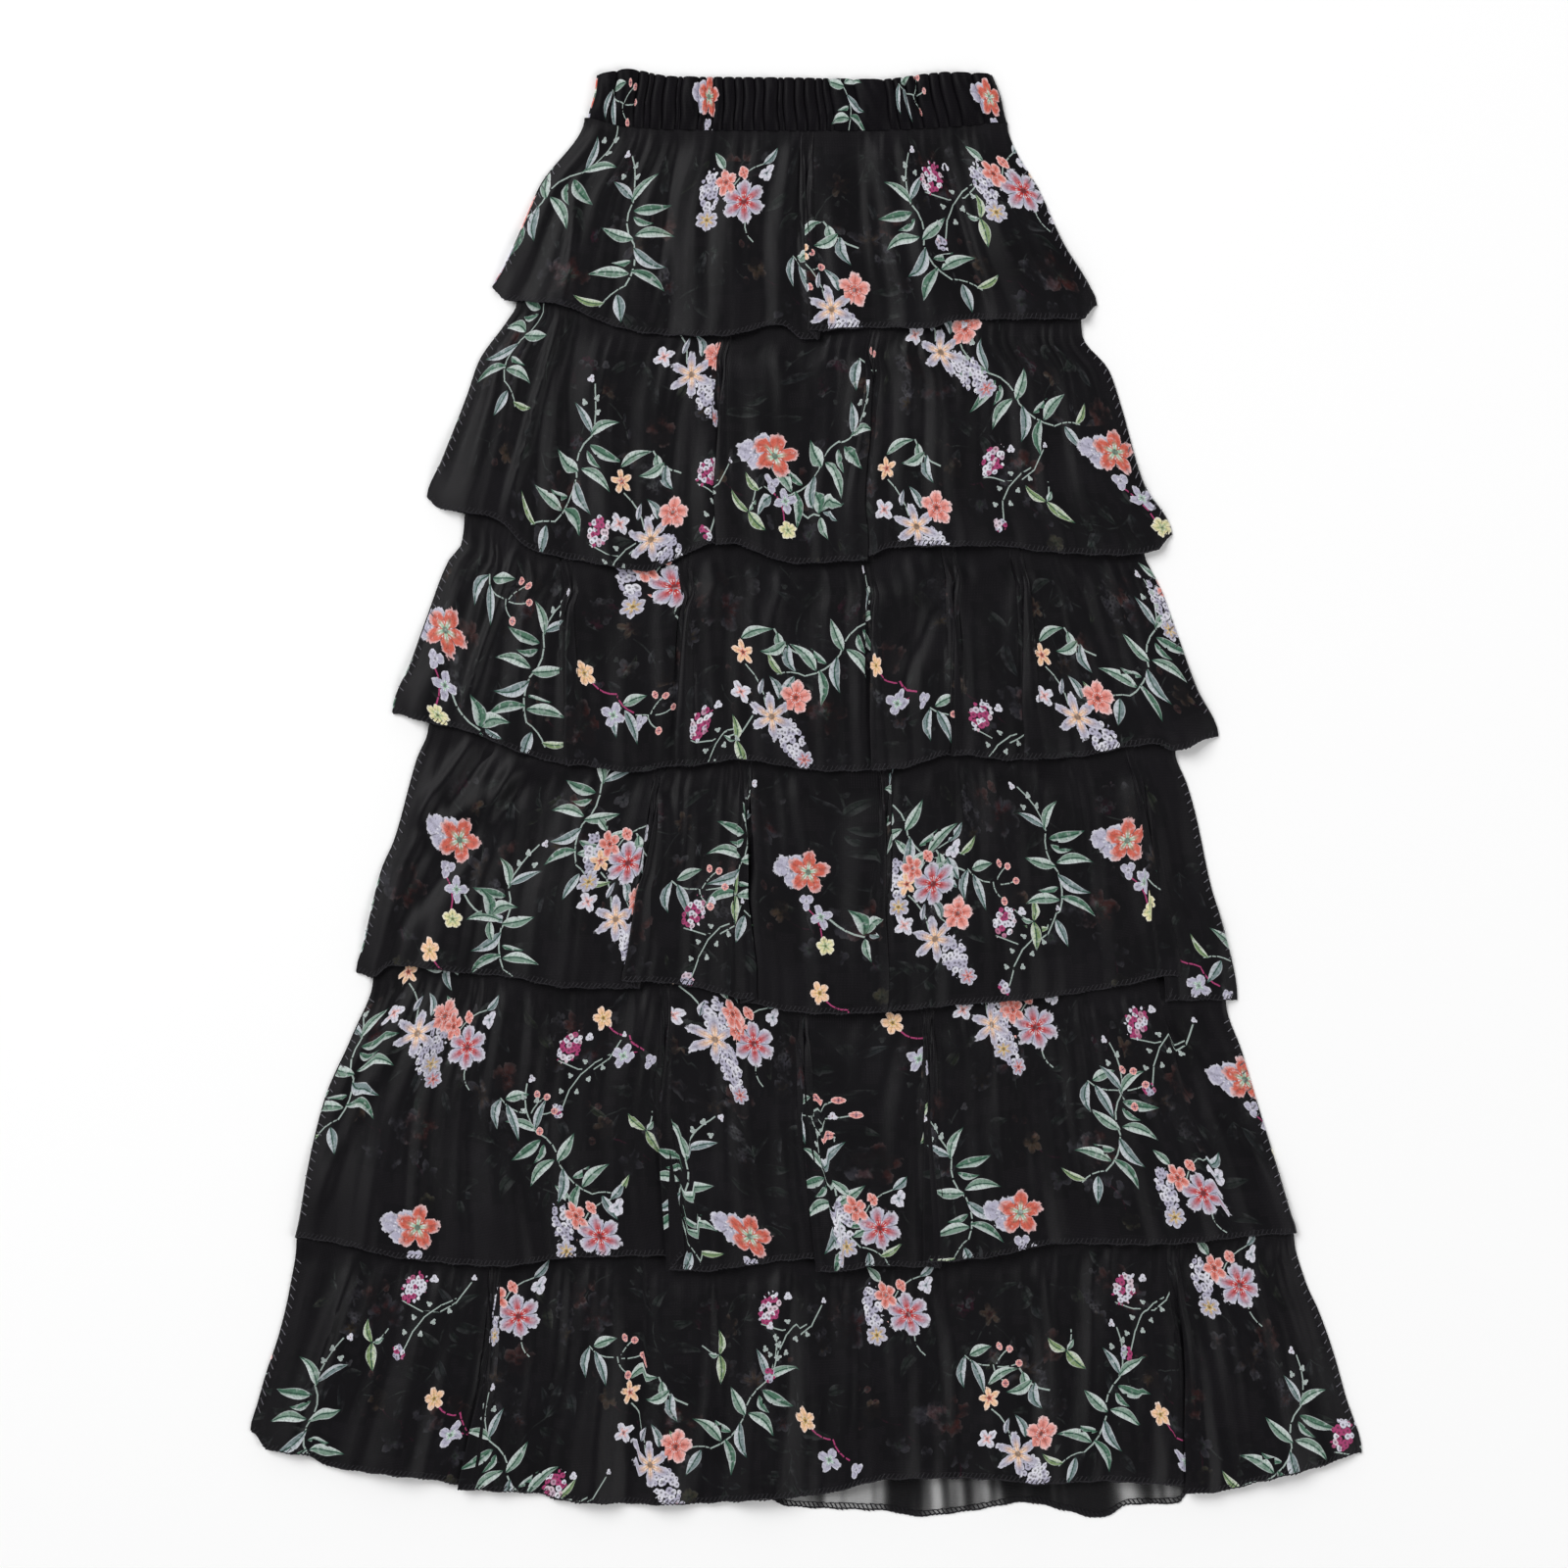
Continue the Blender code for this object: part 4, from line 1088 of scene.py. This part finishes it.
def stem_layer(finish, below):
    """Thin stems with rounded ends."""
    off, along, half_width = finish.channel("stem")
    paint, ink = finish.ink("stem_tint")
    beyond = finish.math("SUBTRACT", finish.math("ABSOLUTE", off), half_width)
    ends = finish.step(1.25, 1.05, finish.math("ABSOLUTE", along))
    cover = finish.times(finish.times(finish.step(0.22, -0.1, beyond), ends), ink)
    return finish.blend(cover, below, paint)


def head_layer(finish, below):
    """Heads of many small florets, in two colours and white, sparser towards their edge."""
    across, up, _ = finish.channel("head")
    floret, ink = finish.ink("head_tint")
    radius = finish.radius(across, up)
    cells = finish.node("ShaderNodeTexVoronoi", (finish.cloth_place(*FLORETS), None, 1.0),
                        voronoi_dimensions="2D")
    chance = finish.node("ShaderNodeSeparateColor", (cells.outputs["Color"],)).outputs
    size = finish.math("MULTIPLY_ADD", finish.step(1.08, 0.72, radius), 0.66, 0.02)
    share = finish.math("DIVIDE", cells.outputs["Distance"], size)
    paint = finish.blend(finish.step(0.52, 0.62, chance[0]), floret, finish.heart("head"))
    paint = finish.blend(finish.step(0.70, 0.80, chance[1]), paint, PALE, 0.60)
    paint = finish.blend(finish.step(0.50, 0.15, share), paint, SHADOW, 0.7)
    inside = finish.times(finish.step(1.05, 0.85, share), finish.step(1.06, 1.0, radius))
    return finish.blend(finish.times(inside, ink), below, paint)


def cloth_ground(finish, cloth):
    """The bare mesh: near black, a little uneven, with a fine net weave and fine rumples."""
    cloudy = finish.noise(finish.cloth_place(1, 1), CLOTH_PATCHES, 3.0)
    lighter = tuple(min(1.0, 1.5 * part) for part in cloth[:3]) + (1,)
    ground = finish.blend(finish.step(0.35, 0.75, cloudy), (*cloth[:3], 1), lighter)
    weave = finish.node("ShaderNodeTexVoronoi", (finish.cloth_place(*NET), None, 1.0),
                        voronoi_dimensions="2D", feature="F1")
    weave.inputs["Randomness"].default_value = 0.15
    rumples = finish.noise(finish.cloth_place(*RUMPLES), 1.0, 1.5)
    finish.bump(0.35, 0.0016, finish.math("MULTIPLY_ADD", weave.outputs["Distance"], -0.10, rumples))
    holes = finish.step(0.30, 0.05, weave.outputs["Distance"])
    return ground, holes


def cloth_surface(finish, shine):
    """The mesh's soft, matt sheen. The doubled waistband shines less."""
    inputs = finish.shader.inputs
    inputs["Roughness"].default_value = MESH_ROUGHNESS
    inputs["Specular IOR Level"].default_value = shine
    inputs["Sheen Weight"].default_value = 0.01
    inputs["Sheen Roughness"].default_value = MESH_ROUGHNESS


def plain_mesh(colours, shine):
    """The black mesh where nothing is printed."""
    finish = Finish("black mesh")
    ground, holes = cloth_ground(finish, colours.cloth)
    finish.connect("Base Color", finish.blend(holes, ground, SHADOW, 0.5))
    cloth_surface(finish, shine)
    return finish.material


def sheer_mesh(colours, shine):
    """One layer of the same mesh with nothing behind it, so that the floor shows through."""
    finish = Finish("single mesh layer")
    ground, holes = cloth_ground(finish, colours.cloth)
    finish.connect("Base Color", ground)
    pleats = finish.step(0.42, 0.60, finish.noise(finish.cloth_place(*PLEATS), 1.0, 2.0))
    pleated = finish.math("MULTIPLY_ADD", pleats, 0.50, 0.24)
    finish.connect("Alpha", finish.math("MULTIPLY_ADD", holes, -0.16, pleated))
    cloth_surface(finish, shine)
    return finish.material


def printed_mesh(colours, shine):
    """The black mesh with its print, slightly broken up where the ink missed the threads."""
    finish = Finish("printed mesh")
    ground, holes = cloth_ground(finish, colours.cloth)
    place = finish.cloth_place(1, 1)
    dark = (*colours.pine[:3], 1)
    patches = finish.noise(place, INK_PATCHES, 3.0)
    finish.ghost_patches = finish.step(0.45, 0.68, finish.noise(place, GHOST_PATCHES, 3.0))
    paint = stem_layer(finish, ground)
    for channel in LEAVES:
        paint = leaf_layer(finish, paint, channel, dark, patches)
    paint = head_layer(finish, paint)
    for channel in BLOOMS:
        paint = bloom_layer(finish, paint, channel, patches)
    grain = finish.step(0.42, 0.30, finish.noise(place, INK_GRAIN, 2.0))
    worn = finish.math("MULTIPLY_ADD", grain, 0.45, finish.times(holes, 0.35))
    finish.connect("Base Color", finish.blend(worn, paint, ground))
    cloth_surface(finish, shine)
    return finish.material


def overlock_thread(name, thread):
    """Thread twisted finely, with lighter flecks along it that are painted highlights on its fuzz."""
    finish = Finish(name)
    place = finish.node("ShaderNodeTexCoord").outputs["Object"]
    # One noise gives the thread its real bump, and lighter flecks in its colour that are painted
    # highlights, glints on its fuzz.
    twist_and_glints = finish.noise(place, THREAD_TWIST, 2.0)
    lighter = tuple(min(1.0, 3 * part) for part in thread[:3]) + (1,)
    finish.connect("Base Color", finish.blend(finish.step(0.35, 0.75, twist_and_glints), (*thread[:3], 1), lighter))
    finish.bump(0.5, 0.0004, twist_and_glints)
    finish.shader.inputs["Roughness"].default_value = THREAD_ROUGHNESS
    finish.shader.inputs["Specular IOR Level"].default_value = THREAD_SHINE
    return finish.material


# The materials in the order that a piece of cloth holds them.
PLAIN, PRINTED, SHEER = 0, 1, 2

# Radii of the overlock's bars: slanted, along the edge and along the inside, and a bar's sides.
# A side seam's stitches are finer, start below the tier above, lie on the cloth, and reach in by
# so many columns. Only every second one shows there.
THREAD_RADII = [0.46, 0.52, 0.26]
THREAD_SIDES = 5
SEAM_TOP_ROW = 8
SEAM_LIFT = np.array([0.0, 0.0, 0.3])
SEAM_COLUMNS = 4
SEAM_THREAD = 0.7
SEAM_SKIP = 2
FLOOR_CLEARANCE = 0.05

# Cloth gathered to less than this share of its width keeps its print inside the gathers.
LEAST_SHOWN = 0.3


def mesh_finishes(colours, shine):
    """The mesh's three materials."""
    return [make(colours, shine) for make in (plain_mesh, printed_mesh, sheer_mesh)]


def printed_piece(name, tube, downs, prints, ghosts, finishes, colours):
    """A sheet over the tube's points with its print. Ghosts lie under the real print.

    With it come the middle, the last column and the material of each of its faces.
    """
    piece, row, column = sheet_from(name, tube)
    along = cut_lengths(tube)
    corners = np.empty(len(piece.data.loops), int)
    piece.data.loops.foreach_get("vertex_index", corners)
    row, column = row[corners.reshape(-1, 4)], column[corners.reshape(-1, 4)]
    ink = Ink(along[column], downs[row, column], colours)
    for place in ghosts:
        ink.draw(*place, GHOST_INK)
    ink.start_again()
    for place in prints:
        ink.draw(*place, 1.0)
    ink.apply(piece.data)
    for finish in finishes:
        piece.data.materials.append(finish)
    shown = np.abs(np.diff(tube[..., 0], axis=1)) / np.maximum(np.diff(along), 1e-6)
    shown = shown[row.min(axis=1), column.min(axis=1)] > LEAST_SHOWN
    kinds = np.where(ink.printed() & shown, PRINTED, PLAIN)
    return piece, tube[row, column].mean(axis=1), column.max(axis=1), kinds


def finish_faces(piece, outer, kinds):
    """Give the outer faces their materials, and the inner wall the plain mesh or the sheer."""
    everywhere = np.zeros(len(piece.data.polygons), np.int32)
    everywhere[:outer] = kinds
    everywhere[outer:2 * outer][kinds == SHEER] = SHEER
    piece.data.polygons.foreach_set("material_index", everywhere)


def repeated(start, end, offset):
    """The print's repeat laid along the cloth from start to end."""
    count = int((end - start) // REPEAT_ALONG) + 2
    laid = [(motif, start + offset + k * REPEAT_ALONG + along, down, REPEAT_STRETCH)
            for k in range(-1, count) for motif, along, down in REPEAT]
    return [place for place in laid if start < place[1] < end]


def tier_prints(tier, front, tube, downs):
    """The motifs on a tier's front and back, and the ghosts on its front."""
    along = cut_lengths(tube)
    width = front.shape[1]
    prints = []
    for motif, places in SCATTER.items():
        for x, y in places.get(tier, []):
            prints.append((motif, *print_place(front, along[:width], downs[:, :width], x, y)))
    shift = TIER_SHIFT * tier
    backs = repeated(along[width] + BACK_MARGIN, along[-1] - BACK_MARGIN, shift % REPEAT_ALONG)
    ghosts = repeated(GHOST_MARGIN, along[width] - GHOST_MARGIN, (shift + GHOST_SHIFT) % REPEAT_ALONG)
    return prints + backs, ghosts


def unit(vectors):
    """The vectors made one long."""
    return vectors / np.maximum(np.linalg.norm(vectors, axis=-1, keepdims=True), 1e-6)


def overlock(edge, inside, sizes):
    """Starts, ends and radii of an overlocked edge's bars of thread: two on the slant and a chain."""
    steps = np.linalg.norm(np.diff(edge, axis=0), axis=1)
    travelled = np.concatenate([[0.0], np.cumsum(steps)])
    pitch, band = sizes.stitch / MM, sizes.edging / MM
    at = np.arange(0, travelled[-1] - pitch, pitch)

    def along(values, where):
        return np.stack([np.interp(where, travelled, values[:, k]) for k in range(3)], axis=-1)

    first, ahead = along(edge, at), along(edge, at + pitch)
    inward, inward_ahead = unit(along(inside - edge, at)), unit(along(inside - edge, at + pitch))
    # Each stitch reaches in unevenly, and stands past the edge by its own fuzz.
    depth = (band + 0.25 * np.sin(at * 0.9) + 0.15 * np.sin(at * 2.3 + 1))[:, None]
    fuzz = (0.4 + 0.7 * np.sin(at * 1.7) + 0.5 * np.sin(at * 4.1 + 2))[:, None]
    start = [first - fuzz * inward, first - (fuzz - 0.4) * inward, first + depth * inward]
    end = [mix(first, ahead, 0.8) + depth * inward, ahead - 0.1 * inward_ahead,
           ahead + depth * inward_ahead]
    return np.concatenate(start), np.concatenate(end), np.repeat(THREAD_RADII, len(at))


def stitches(name, tube, sizes):
    """Overlock stitches round the hem, and finer ones up both side seams below the tier above."""
    right = int(np.argmax(tube[-1, :, 0])) - 1
    seams = [overlock(tube[-1], tube[-3], sizes)]
    lifted = tube[SEAM_TOP_ROW:-2] + SEAM_LIFT
    for column, inner in ((0, SEAM_COLUMNS), (right, right - SEAM_COLUMNS)):
        start, end, radius = overlock(lifted[:, column], lifted[:, inner], sizes)
        slanted = slice(0, len(start) // len(THREAD_RADII), SEAM_SKIP)
        seams.append((start[slanted], end[slanted], radius[slanted] * SEAM_THREAD))
    start, end, radius = (np.concatenate(parts) for parts in zip(*seams))

    bpy.ops.object.select_all(action="DESELECT")
    bpy.ops.mesh.primitive_cylinder_add(vertices=THREAD_SIDES, radius=1, depth=1)
    piece = bpy.context.object
    piece.name = piece.data.name = name
    bar = np.array([vertex.co[:] for vertex in piece.data.vertices])
    faces = [tuple(face.vertices) for face in piece.data.polygons]
    axis = unit(end - start)
    side = unit(np.cross(axis, (0.0, 0.0, 1.0)))
    up = np.cross(side, axis)
    points = (mix(start, end, 0.5)[:, None] + (end - start)[:, None] * bar[:, 2:3]
              + radius[:, None, None] * (side[:, None] * bar[:, 0:1] + up[:, None] * bar[:, 1:2]))
    points[..., 2] = np.maximum(points[..., 2], FLOOR_CLEARANCE)
    count = len(bar)
    piece.data.clear_geometry()
    piece.data.from_pydata(points.reshape(-1, 3) * MM, [], [
        tuple(k * count + corner for corner in face) for k in range(len(start)) for face in faces])
    hem_faces = len(seams[0][0]) * len(faces)
    kinds = (np.arange(len(piece.data.polygons)) >= hem_faces).astype(np.int32)
    piece.data.polygons.foreach_set("material_index", kinds)
    piece.data.update()
    return piece


def tier_piece(tier, sizes, colours, finishes):
    """One tier's tube of cloth and the stitches on its edges."""
    front, front_downs = front_sheet(tier, sizes.column / MM, sizes.row / MM)
    back, back_downs = back_sheet(tier, 1.5 * sizes.column / MM, sizes.row / MM)
    tube = pressed_tube(front, back)
    downs = np.concatenate([front_downs, front_downs[:, -1:], back_downs, back_downs[:, -1:],
                            front_downs[:, :1]], axis=1)
    prints, ghosts = tier_prints(tier, front, tube, downs)
    piece, middle, column, kinds = printed_piece(
        f"tier_{tier}", tube, downs, prints, ghosts, finishes, colours)
    if tier == TIERS[-1]:
        below_front = middle[:, 1] < flowing(HEMS[tier], middle[:, 0]) + 2
        kinds[(column > front.shape[1] + 1) & below_front] = SHEER
    finish_faces(piece, closed_shell(piece, sizes.cloth), kinds)
    edging = stitches(f"tier_{tier}_overlock", tube, sizes)
    return piece, edging


def band_piece(sizes, colours, finishes):
    """The waistband's tube of doubled cloth with its print."""
    tube, downs = band_sheet(BAND_COLUMN)
    along = cut_lengths(tube)
    width = (len(along) - 3) // 2
    front = tube[:, :width]
    prints = []
    for motif, x, y in BAND_SCATTER:
        across, down, stretch = print_place(front, along[:width], downs[:, :width], x, y)
        prints.append((motif, across, down, stretch * BAND_SQUEEZE))
    for motif, step, down, stretch in BAND_BACK_PRINT:
        prints.append((motif, along[width] + step, down, stretch))
    piece, _, _, kinds = printed_piece("waistband", tube, downs, prints, [], finishes, colours)
    finish_faces(piece, closed_shell(piece, sizes.band_cloth), kinds)
    return piece


# The stage in metres: the floor just under the skirt, two square softboxes aimed at the middle,
# and a camera straight above that sees this width about this centre.
FLOOR_SIZE = 30.0
FLOOR_LEVEL = -0.0002
FLOOR_ROUGHNESS = 0.9
Softbox = namedtuple("Softbox", "name place size power")
SOFTBOXES = [Softbox("key softbox", (-3.4, 2.8, 4.6), 4.0, 338),
             Softbox("fill softbox", (4.2, -1.6, 4.2), 3.0, 150)]
PICTURE_WIDTH = 1.084
PICTURE_CENTRE = (-0.01524, 0.00678)
CAMERA_HEIGHT = 3.2
SENSOR = 36.0

# The room's light is brightest at the horizon and dims towards this height of its sky.
HORIZON_LIGHT = 0.9
ZENITH_LIGHT = 0.12
DIM_ABOVE = 0.7


def make_floor(context):
    bpy.ops.object.select_all(action="DESELECT")
    bpy.ops.mesh.primitive_plane_add(size=FLOOR_SIZE, location=(0, 0, FLOOR_LEVEL))
    floor = context.object
    floor.name = "floor"
    finish = Finish("pale floor")
    tone = context.scene.skirt_colours.floor
    finish.shader.inputs["Base Color"].default_value = (*tone[:3], 1)
    finish.shader.inputs["Roughness"].default_value = FLOOR_ROUGHNESS
    floor.data.materials.append(finish.material)


def make_softbox(softbox):
    bpy.ops.object.light_add(type="AREA", location=softbox.place)
    light = bpy.context.object
    light.name = softbox.name
    light.data.shape = "SQUARE"
    light.data.size = softbox.size
    light.data.energy = softbox.power
    aim = -light.location.normalized()
    light.rotation_euler = aim.to_track_quat("-Z", "Y").to_euler()


def make_world(context):
    """A white room around the skirt, dimmer overhead."""
    world = bpy.data.worlds.new("studio")
    world.use_nodes = True
    background = world.node_tree.nodes["Background"]
    background.inputs["Color"].default_value = (1, 1, 1, 1)
    place = world.node_tree.nodes.new("ShaderNodeTexCoord")
    height = world.node_tree.nodes.new("ShaderNodeSeparateXYZ")
    dimmer = world.node_tree.nodes.new("ShaderNodeMapRange")
    world.node_tree.links.new(place.outputs["Generated"], height.inputs[0])
    world.node_tree.links.new(height.outputs[2], dimmer.inputs[0])
    dimmer.inputs[2].default_value = DIM_ABOVE
    dimmer.inputs[3].default_value = HORIZON_LIGHT
    dimmer.inputs[4].default_value = ZENITH_LIGHT
    world.node_tree.links.new(dimmer.outputs[0], background.inputs["Strength"])
    context.scene.world = world
    context.scene.view_settings.view_transform = "Standard"


def make_camera(context):
    bpy.ops.object.camera_add(location=(*PICTURE_CENTRE, CAMERA_HEIGHT), rotation=(0, 0, 0))
    camera = context.object
    camera.name = "camera above"
    camera.data.sensor_width = SENSOR
    camera.data.lens = SENSOR * CAMERA_HEIGHT / PICTURE_WIDTH
    camera.data.clip_end = 100
    context.scene.camera = camera


def linear(red, green, blue):
    """A screen colour from 0 to 255 as Blender's linear colour."""
    parts = [part / 255 for part in (red, green, blue)]
    return tuple(part / 12.92 if part < 0.04045 else ((part + 0.055) / 1.055) ** 2.4
                 for part in parts)


def tone(name, description, red, green, blue):
    """A colour property, given as it looks on a screen."""
    return FloatVectorProperty(name=name, description=description, subtype="COLOR",
                               min=0.0, max=1.0, default=linear(red, green, blue))


class SkirtColours(bpy.types.PropertyGroup):
    """Colours of the cloth, its print and its thread."""

    cloth: tone("Mesh", "The bare mesh cloth", 10, 9, 12)
    thread: tone("Thread", "The hems' overlock thread", 23, 22, 25)
    seam_thread: tone("Seam Thread", "The side seams' overlock, seen through the mesh", 74, 73, 78)
    floor: tone("Floor", "The floor under the skirt", 250, 250, 250)
    lilac: tone("Lilac", "Large blooms and florets", 174, 171, 190)
    mist: tone("Mist", "Palest petals, pods and thin stems", 206, 204, 216)
    coral: tone("Coral", "Pointed flowers and companions", 200, 96, 80)
    red: tone("Red", "Hearts of the large blooms", 190, 52, 48)
    pink: tone("Pink", "Buds and lily petals", 230, 158, 150)
    peach: tone("Peach", "Small flowers on magenta stems", 238, 194, 156)
    butter: tone("Butter", "Palest yellow flowers", 224, 216, 168)
    gold: tone("Gold", "Hearts of the small flowers", 204, 168, 88)
    mint: tone("Mint", "Hearts of the coral flowers", 168, 204, 178)
    lime: tone("Lime", "Young leaves", 152, 174, 118)
    sage: tone("Sage", "Most of the leaves", 146, 172, 156)
    fern: tone("Fern", "Darker leaves", 92, 130, 108)
    pine: tone("Pine", "Leaf veins and shaded halves", 40, 76, 62)
    slate: tone("Slate", "Grey-blue leaves", 144, 158, 164)
    stem: tone("Stem", "Pale stems", 158, 172, 166)
    magenta: tone("Magenta", "Floret heads and their stems", 162, 62, 108)
    berry: tone("Berry", "Darkest florets and berries", 112, 32, 70)


def distance(name, description, metres):
    """A length property."""
    return FloatProperty(name=name, description=description, default=metres,
                         subtype="DISTANCE", unit="LENGTH")


class SkirtSizes(bpy.types.PropertyGroup):
    """Sizes that a maker would change."""

    cloth: distance("Cloth", "Thickness of the mesh cloth", 0.00045)
    band_cloth: distance("Band", "Thickness of the doubled waistband", 0.0014)
    column: distance("Column", "Width of the front cloth's faces", 0.0026)
    row: distance("Row", "Length of the cloth's faces", 0.0055)
    stitch: distance("Stitch", "Spacing of the overlock stitches", 0.0031)
    edging: distance("Edging", "Width of the overlocked edge", 0.0034)


class SKIRT_OT_tiers(bpy.types.Operator):
    """Lay out the six gathered tiers with their folds and their print"""

    bl_idname = "skirt.tiers"
    bl_label = "Ruffle Tiers"

    def execute(self, context):
        sizes, colours = context.scene.skirt_sizes, context.scene.skirt_colours
        finishes = mesh_finishes(colours, TIER_SHINE)
        threads = [overlock_thread("hem thread", colours.thread),
                   overlock_thread("side seam thread", colours.seam_thread)]
        for tier in TIERS:
            piece, edging = tier_piece(tier, sizes, colours, finishes)
            for thread in threads:
                edging.data.materials.append(thread)
            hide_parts(f"tier_{tier}_front", f"tier_{tier}_back")
            for part in (piece, edging):
                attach(part, "root")
        return {"FINISHED"}


class SKIRT_OT_waistband(bpy.types.Operator):
    """Gather the doubled waistband over its elastic"""

    bl_idname = "skirt.waistband"
    bl_label = "Waistband"

    def execute(self, context):
        colours = context.scene.skirt_colours
        finishes = mesh_finishes(colours, BAND_SHINE)
        piece = band_piece(context.scene.skirt_sizes, colours, finishes)
        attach(piece, "root")
        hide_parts("waistband_front", "waistband_back")
        return {"FINISHED"}


class SKIRT_OT_stage(bpy.types.Operator):
    """Set the pale floor, the soft lights and the camera straight above"""

    bl_idname = "skirt.stage"
    bl_label = "Stage"

    def execute(self, context):
        make_floor(context)
        for softbox in SOFTBOXES:
            make_softbox(softbox)
        make_world(context)
        make_camera(context)
        return {"FINISHED"}


class SKIRT_PT_panel(bpy.types.Panel):
    """The skirt's pieces, in the order that they are made"""

    bl_idname = "SKIRT_PT_panel"
    bl_label = "Tiered Mesh Skirt"
    bl_space_type = "VIEW_3D"
    bl_region_type = "UI"
    bl_category = "Skirt"

    def draw(self, context):
        for group in (context.scene.skirt_sizes, context.scene.skirt_colours):
            for name in group.bl_rna.properties.keys():
                if name not in ("rna_type", "name"):
                    self.layout.prop(group, name)
        for operator in OPERATORS:
            self.layout.operator(operator.bl_idname)


OPERATORS = (SKIRT_OT_waistband, SKIRT_OT_tiers, SKIRT_OT_stage)
CLASSES = (SkirtSizes, SkirtColours, *OPERATORS, SKIRT_PT_panel)


def register():
    for cls in CLASSES:
        bpy.utils.register_class(cls)
    bpy.types.Scene.skirt_sizes = PointerProperty(type=SkirtSizes)
    bpy.types.Scene.skirt_colours = PointerProperty(type=SkirtColours)


def unregister():
    del bpy.types.Scene.skirt_colours
    del bpy.types.Scene.skirt_sizes
    for cls in reversed(CLASSES):
        bpy.utils.unregister_class(cls)


def main():
    register()
    bpy.ops.skirt.waistband()
    bpy.ops.skirt.tiers()
    bpy.ops.skirt.stage()


if __name__ == "__main__":
    main()
